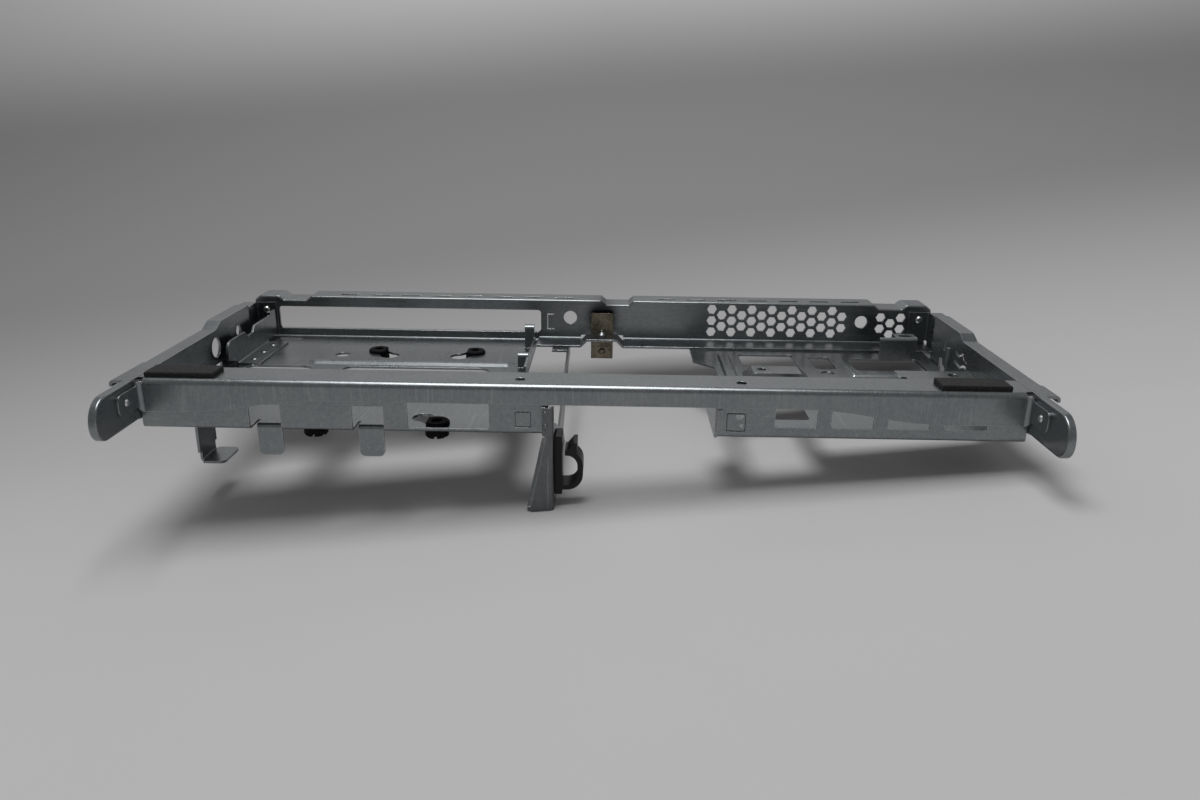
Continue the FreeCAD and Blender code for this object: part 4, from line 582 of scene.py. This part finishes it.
class Finish(Enum):
    """The finishes of the pieces."""

    RAIL = SheetSteel("rail_zinc", Grain.ALONG_Z)
    # The wall carries the painted shadow of the spring clip.
    WALL = SheetSteel("wall_zinc", Grain.ALONG_X, shadow_spot=CLIP_TOP)
    ARM = SheetSteel("arm_zinc", Grain.ALONG_Y)
    TRAY = SheetSteel("tray_zinc", Grain.ALONG_Y)
    SHELF = SheetSteel("shelf_zinc", Grain.ALONG_Y)
    BRACKET = SheetSteel("bracket_zinc", Grain.ALONG_Z)
    # A darker copy of the bracket zinc, painted shade for the divider and rivets, which reflect the
    # shaded floor in front.
    DULL = SheetSteel(
        "shaded_bracket_zinc",
        Grain.ALONG_Z,
        dark=(0.11, 0.12, 0.125),
        light=(0.18, 0.19, 0.195),
    )
    BRIGHT = BareMetal(
        "bright_zinc",
        tone=(0.55, 0.56, 0.56),
        worn=(0.78, 0.78, 0.77),
        roughness=0.30,
    )
    SPRING = BareMetal(
        "aged_nickel",
        tone=(0.10, 0.089, 0.067),
        worn=(0.31, 0.276, 0.21),
        roughness=0.38,
    )
    NYLON = Moulded(
        "black_nylon",
        tone=(0.005, 0.005, 0.005),
        bloom=(0.018, 0.018, 0.0175),
        roughness=0.42,
        texture=Noise(1400.0),
    )
    RUBBER = Moulded(
        "black_rubber",
        tone=(0.003, 0.003, 0.0032),
        bloom=(0.010, 0.0098, 0.0096),
        roughness=0.75,
        texture=Noise(2200.0),
        gloss=0.15,
    )
    FOAM = PadFoam(
        "black_foam",
        pore=(0.003, 0.003, 0.003),
        skin=(0.017, 0.0165, 0.0165),
    )


def select_none() -> None:
    """Leaves edit mode's or object mode's selection empty."""
    if bpy.context.mode == "EDIT_MESH":
        bpy.ops.mesh.select_all(action="DESELECT")
    else:
        bpy.ops.object.select_all(action="DESELECT")


def pick_edges(piece: bpy.types.Object, wanted: Callable[[Vector, Vector], bool]) -> None:
    """Selects edges in edit mode by their two ends.

    Args:
        piece: The piece in edit mode.
        wanted: Says of an edge's two ends if it is selected.
    """
    bpy.ops.mesh.select_mode(type="EDGE")
    select_none()
    bpy.ops.object.mode_set(mode="OBJECT")
    points = piece.data.vertices
    for edge in piece.data.edges:
        first, second = edge.vertices
        edge.select = wanted(points[first].co, points[second].co)
    bpy.ops.object.mode_set(mode="EDIT")


def apply_place(piece: bpy.types.Object) -> None:
    """Moves a piece's place, turn and scale into its mesh.

    Args:
        piece: The piece, in object mode.
    """
    select_none()
    piece.select_set(True)
    bpy.context.view_layer.objects.active = piece
    bpy.ops.object.transform_apply(location=True, rotation=True, scale=True)


def apply_modifiers(piece: bpy.types.Object) -> None:
    """Applies every modifier of a piece in order.

    Args:
        piece: The piece, in object mode.
    """
    bpy.context.view_layer.objects.active = piece
    for modifier in list(piece.modifiers):
        bpy.ops.object.modifier_apply(modifier=modifier.name)


@dataclass
class FoamPads:
    """The two foam strips on top of the front rail."""

    edge_round: float = 0.45 * MM
    edge_steps: int = 3
    cuts: int = 3
    levels: int = 2
    dent_size: float = 3.0 * MM
    dent_depth: float = 0.12 * MM
    smooth_below: float = 40.0
    fill: float = 0.9

    def build(self) -> None:
        """Builds both pads and puts each in the place of its plain solid."""
        material = Finish.FOAM.value.material()
        for side in SIDES:
            node = f"{side}_foam_pad"
            pad = self._pad(node)
            pad.data.materials.append(material)
            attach(pad, BODY)
            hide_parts(node)
            LOG.info("%s: %d faces", pad.name, len(pad.data.polygons))

    def _pad(self, node: str) -> bpy.types.Object:
        """Models one pad inside its solid's box.

        Args:
            node: The solid that it stands for.

        Returns:
            The finished pad.
        """
        low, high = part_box(node)
        select_none()
        bpy.ops.mesh.primitive_cube_add(size=1.0, location=(low + high) / 2)
        pad = bpy.context.object
        pad.name = node + "_soft"
        bpy.ops.transform.resize(value=high - low)
        apply_place(pad)
        bpy.ops.object.mode_set(mode="EDIT")
        pick_edges(pad, lambda first, second: min(first.z, second.z) > high.z - SLACK)
        bpy.ops.mesh.bevel(offset=self.edge_round, segments=self.edge_steps, affect="EDGES")
        bpy.ops.mesh.select_all(action="SELECT")
        bpy.ops.mesh.subdivide(number_cuts=self.cuts)
        bpy.ops.object.mode_set(mode="OBJECT")
        self._dent(pad)
        return pad

    def _dent(self, pad: bpy.types.Object) -> None:
        """Presses small dents into the cut foam, so that its skin is uneven and stays inside its box.

        Args:
            pad: The pad, in object mode.
        """
        refine = pad.modifiers.new("refine", "SUBSURF")
        refine.subdivision_type = "SIMPLE"
        refine.levels = refine.render_levels = self.levels
        dents = bpy.data.textures.new("foam_dents", "CLOUDS")
        dents.noise_scale = self.dent_size
        uneven = pad.modifiers.new("uneven", "DISPLACE")
        uneven.texture = dents
        uneven.texture_coords = "GLOBAL"
        uneven.strength = -self.dent_depth
        uneven.mid_level = 0.0
        apply_modifiers(pad)
        bpy.ops.object.shade_smooth_by_angle(angle=math.radians(self.smooth_below))


@dataclass
class Dresser:
    """Gives every solid that stays on show its finish."""

    nodes: dict[str, bpy.types.Object]

    def dress(self, finish: Finish, *names: str) -> None:
        """Puts one finish on some nodes.

        Args:
            finish: The finish.
            names: The nodes that take it.
        """
        material = finish.value.material()
        for name in names:
            slots = self.nodes[name].data.materials
            slots.clear()
            slots.append(material)
            LOG.info("%s: %s", name, material.name)

    def dress_all(self) -> None:
        """Dresses the whole cage, apart from the foam pads."""
        self.dress(Finish.RAIL, "front_rail")
        self.dress(Finish.WALL, "rear_wall")
        self.dress(Finish.ARM, "left_arm", "right_arm")
        self.dress(Finish.TRAY, "drive_tray")
        self.dress(Finish.SHELF, "side_shelf")
        self.dress(Finish.BRACKET, "guide_bracket", "clip_screw")
        # The divider and the rivets take the darker, painted-shade copy of the bracket zinc.
        self.dress(Finish.DULL, "divider_bracket", "guide_rivets", "divider_rivets")
        self.dress(Finish.NYLON, "cable_clamp")
        self.dress(Finish.SPRING, "spring_clip")
        self.dress(Finish.BRIGHT, *(f"{side}_{spot}_rivet" for side in SIDES for spot in RIVET_SPOTS))
        self.dress(Finish.RUBBER, *(f"{end}_{side}_grommet" for end in ENDS for side in SIDES))


@dataclass
class Sweep:
    """The paper under and behind the cage.

    The cage leans a little to its right on the foot of its divider. It stays upright in its own frame,
    so the sweep slopes under it by that lean, about the foot's right edge. Behind the foot the sweep
    folds upwards by its slope, runs straight, bends upright and rises.
    """

    paper: Paper = Paper()
    half_width: float = 5.0
    front: float = -6.0
    fold: float = 16.0 * MM
    fold_round: float = 0.12
    fold_steps: int = 6
    slope: float = 8.5
    run: float = 0.42
    bend: float = 1.5
    bend_steps: int = 24
    rise: float = 0.8
    lean: float = 5.9
    lean_at: Point = (-10.5 * MM, 0.0, 0.0)

    def build(self) -> None:
        """Models the sweep, leans it and dresses it."""
        select_none()
        bpy.ops.mesh.primitive_plane_add(size=1.0, location=(0.0, (self.front + self.fold) / 2, 0.0))
        sweep = bpy.context.object
        sweep.name = "paper_sweep"
        bpy.ops.transform.resize(value=(2 * self.half_width, self.fold - self.front, 1.0))
        apply_place(sweep)
        bpy.ops.object.mode_set(mode="EDIT")
        pick_edges(sweep, lambda first, second: min(first.y, second.y) > self.fold - SLACK)
        self._climb()
        bpy.ops.mesh.select_all(action="SELECT")
        bpy.ops.mesh.normals_make_consistent(inside=True)
        bpy.ops.object.mode_set(mode="OBJECT")
        bpy.ops.object.shade_smooth()
        pivot = Matrix.Translation(self.lean_at)
        lean = Matrix.Rotation(math.radians(-self.lean), 4, "Y")
        sweep.matrix_world = pivot @ lean @ pivot.inverted()
        apply_place(sweep)
        sweep.data.materials.append(self.paper.material())
        LOG.info("%s: %d faces", sweep.name, len(sweep.data.polygons))

    def _climb(self) -> None:
        """Carries the selected back edge up the slope, round the bend and upright."""
        axis = (1.0, 0.0, 0.0)
        slope = math.radians(self.slope)
        climb = Vector((0.0, math.cos(slope), math.sin(slope)))
        out = Vector((0.0, -math.sin(slope), math.cos(slope)))
        middle = Vector((0.0, self.fold, self.fold_round))
        bpy.ops.mesh.spin(steps=self.fold_steps, angle=-slope, center=middle, axis=axis)
        bpy.ops.mesh.extrude_region_move(TRANSFORM_OT_translate={"value": climb * self.run})
        centre = middle - out * self.fold_round + climb * self.run + out * self.bend
        bpy.ops.mesh.spin(steps=self.bend_steps, angle=slope - QUARTER_TURN, center=centre, axis=axis)
        bpy.ops.mesh.extrude_region_move(TRANSFORM_OT_translate={"value": (0.0, 0.0, self.rise)})


@dataclass(frozen=True)
class SoftBox:
    """A soft lamp: its place, the point that it faces, its width and height, and its power in watts."""

    name: str
    place: Point
    target: Point
    size: tuple[float, float]
    power: float

    def hang(self) -> None:
        """Hangs the lamp in its place."""
        data = bpy.data.lights.new(self.name, "AREA")
        data.shape = "RECTANGLE"
        data.size, data.size_y = self.size
        data.energy = self.power
        lamp = bpy.data.objects.new(self.name, data)
        lamp.location = self.place
        aim = Vector(self.target) - Vector(self.place)
        lamp.rotation_euler = aim.to_track_quat("-Z", "Y").to_euler()
        bpy.context.scene.collection.objects.link(lamp)


@dataclass(frozen=True)
class Viewpoint:
    """The place and the lens from which the photograph was taken. The lens and the sensor are in mm."""

    lens: float = 27.3
    sensor: float = 36.0
    eye: Point = (10.21 * MM, -360.94 * MM, 145.96 * MM)
    pitch: float = 18.709
    roll: float = 0.748
    yaw: float = 0.73
    clip_start: float = 10.0 * MM

    def set_up(self) -> None:
        """Puts the scene's camera there."""
        data = bpy.data.cameras.new("camera")
        data.sensor_width = self.sensor
        data.lens = self.lens
        data.clip_start = self.clip_start
        camera = bpy.data.objects.new("camera", data)
        turn = Matrix.Rotation(math.radians(self.yaw), 4, "Z")
        tilt = Matrix.Rotation(QUARTER_TURN - math.radians(self.pitch), 4, "X")
        lean = Matrix.Rotation(math.radians(self.roll), 4, "Z")
        camera.matrix_world = Matrix.Translation(self.eye) @ turn @ tilt @ lean
        bpy.context.scene.collection.objects.link(camera)
        bpy.context.scene.camera = camera


@dataclass
class Studio:
    """The paper sweep, the plain light and the camera."""

    sky: Colour = (0.23, 0.23, 0.234)
    sky_strength: float = 1.0
    top_lamp: SoftBox = SoftBox(
        "top_lamp",
        place=(-0.13, -0.04, 1.3),
        target=(0.0, 0.0, 0.0),
        size=(0.90, 0.62),
        power=10.8,
    )
    back_lamp: SoftBox = SoftBox(
        "back_lamp",
        place=(0.0, 1.2, 0.88),
        target=(0.0, 0.0, 0.05),
        size=(2.4, 0.66),
        power=1.9,
    )

    def build(self) -> None:
        """Sets up the sweep, the light and the camera."""
        Sweep().build()
        self._sky()
        self.top_lamp.hang()
        self.back_lamp.hang()
        Viewpoint().set_up()
        bpy.context.scene.view_settings.view_transform = "Standard"

    def _sky(self) -> None:
        """Fills the studio with plain grey light."""
        world = bpy.data.worlds.new("studio")
        world.use_nodes = True
        background = world.node_tree.nodes["Background"]
        background.inputs["Color"].default_value = opaque(self.sky)
        background.inputs["Strength"].default_value = self.sky_strength
        bpy.context.scene.world = world


def main() -> None:
    """Loads the cage, dresses it, adds the soft pieces and sets up the studio."""
    logging.basicConfig(level=logging.INFO, format="%(message)s")
    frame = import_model()
    Dresser(frame["nodes"]).dress_all()
    FoamPads().build()
    Studio().build()


if __name__ == "__main__":
    main()
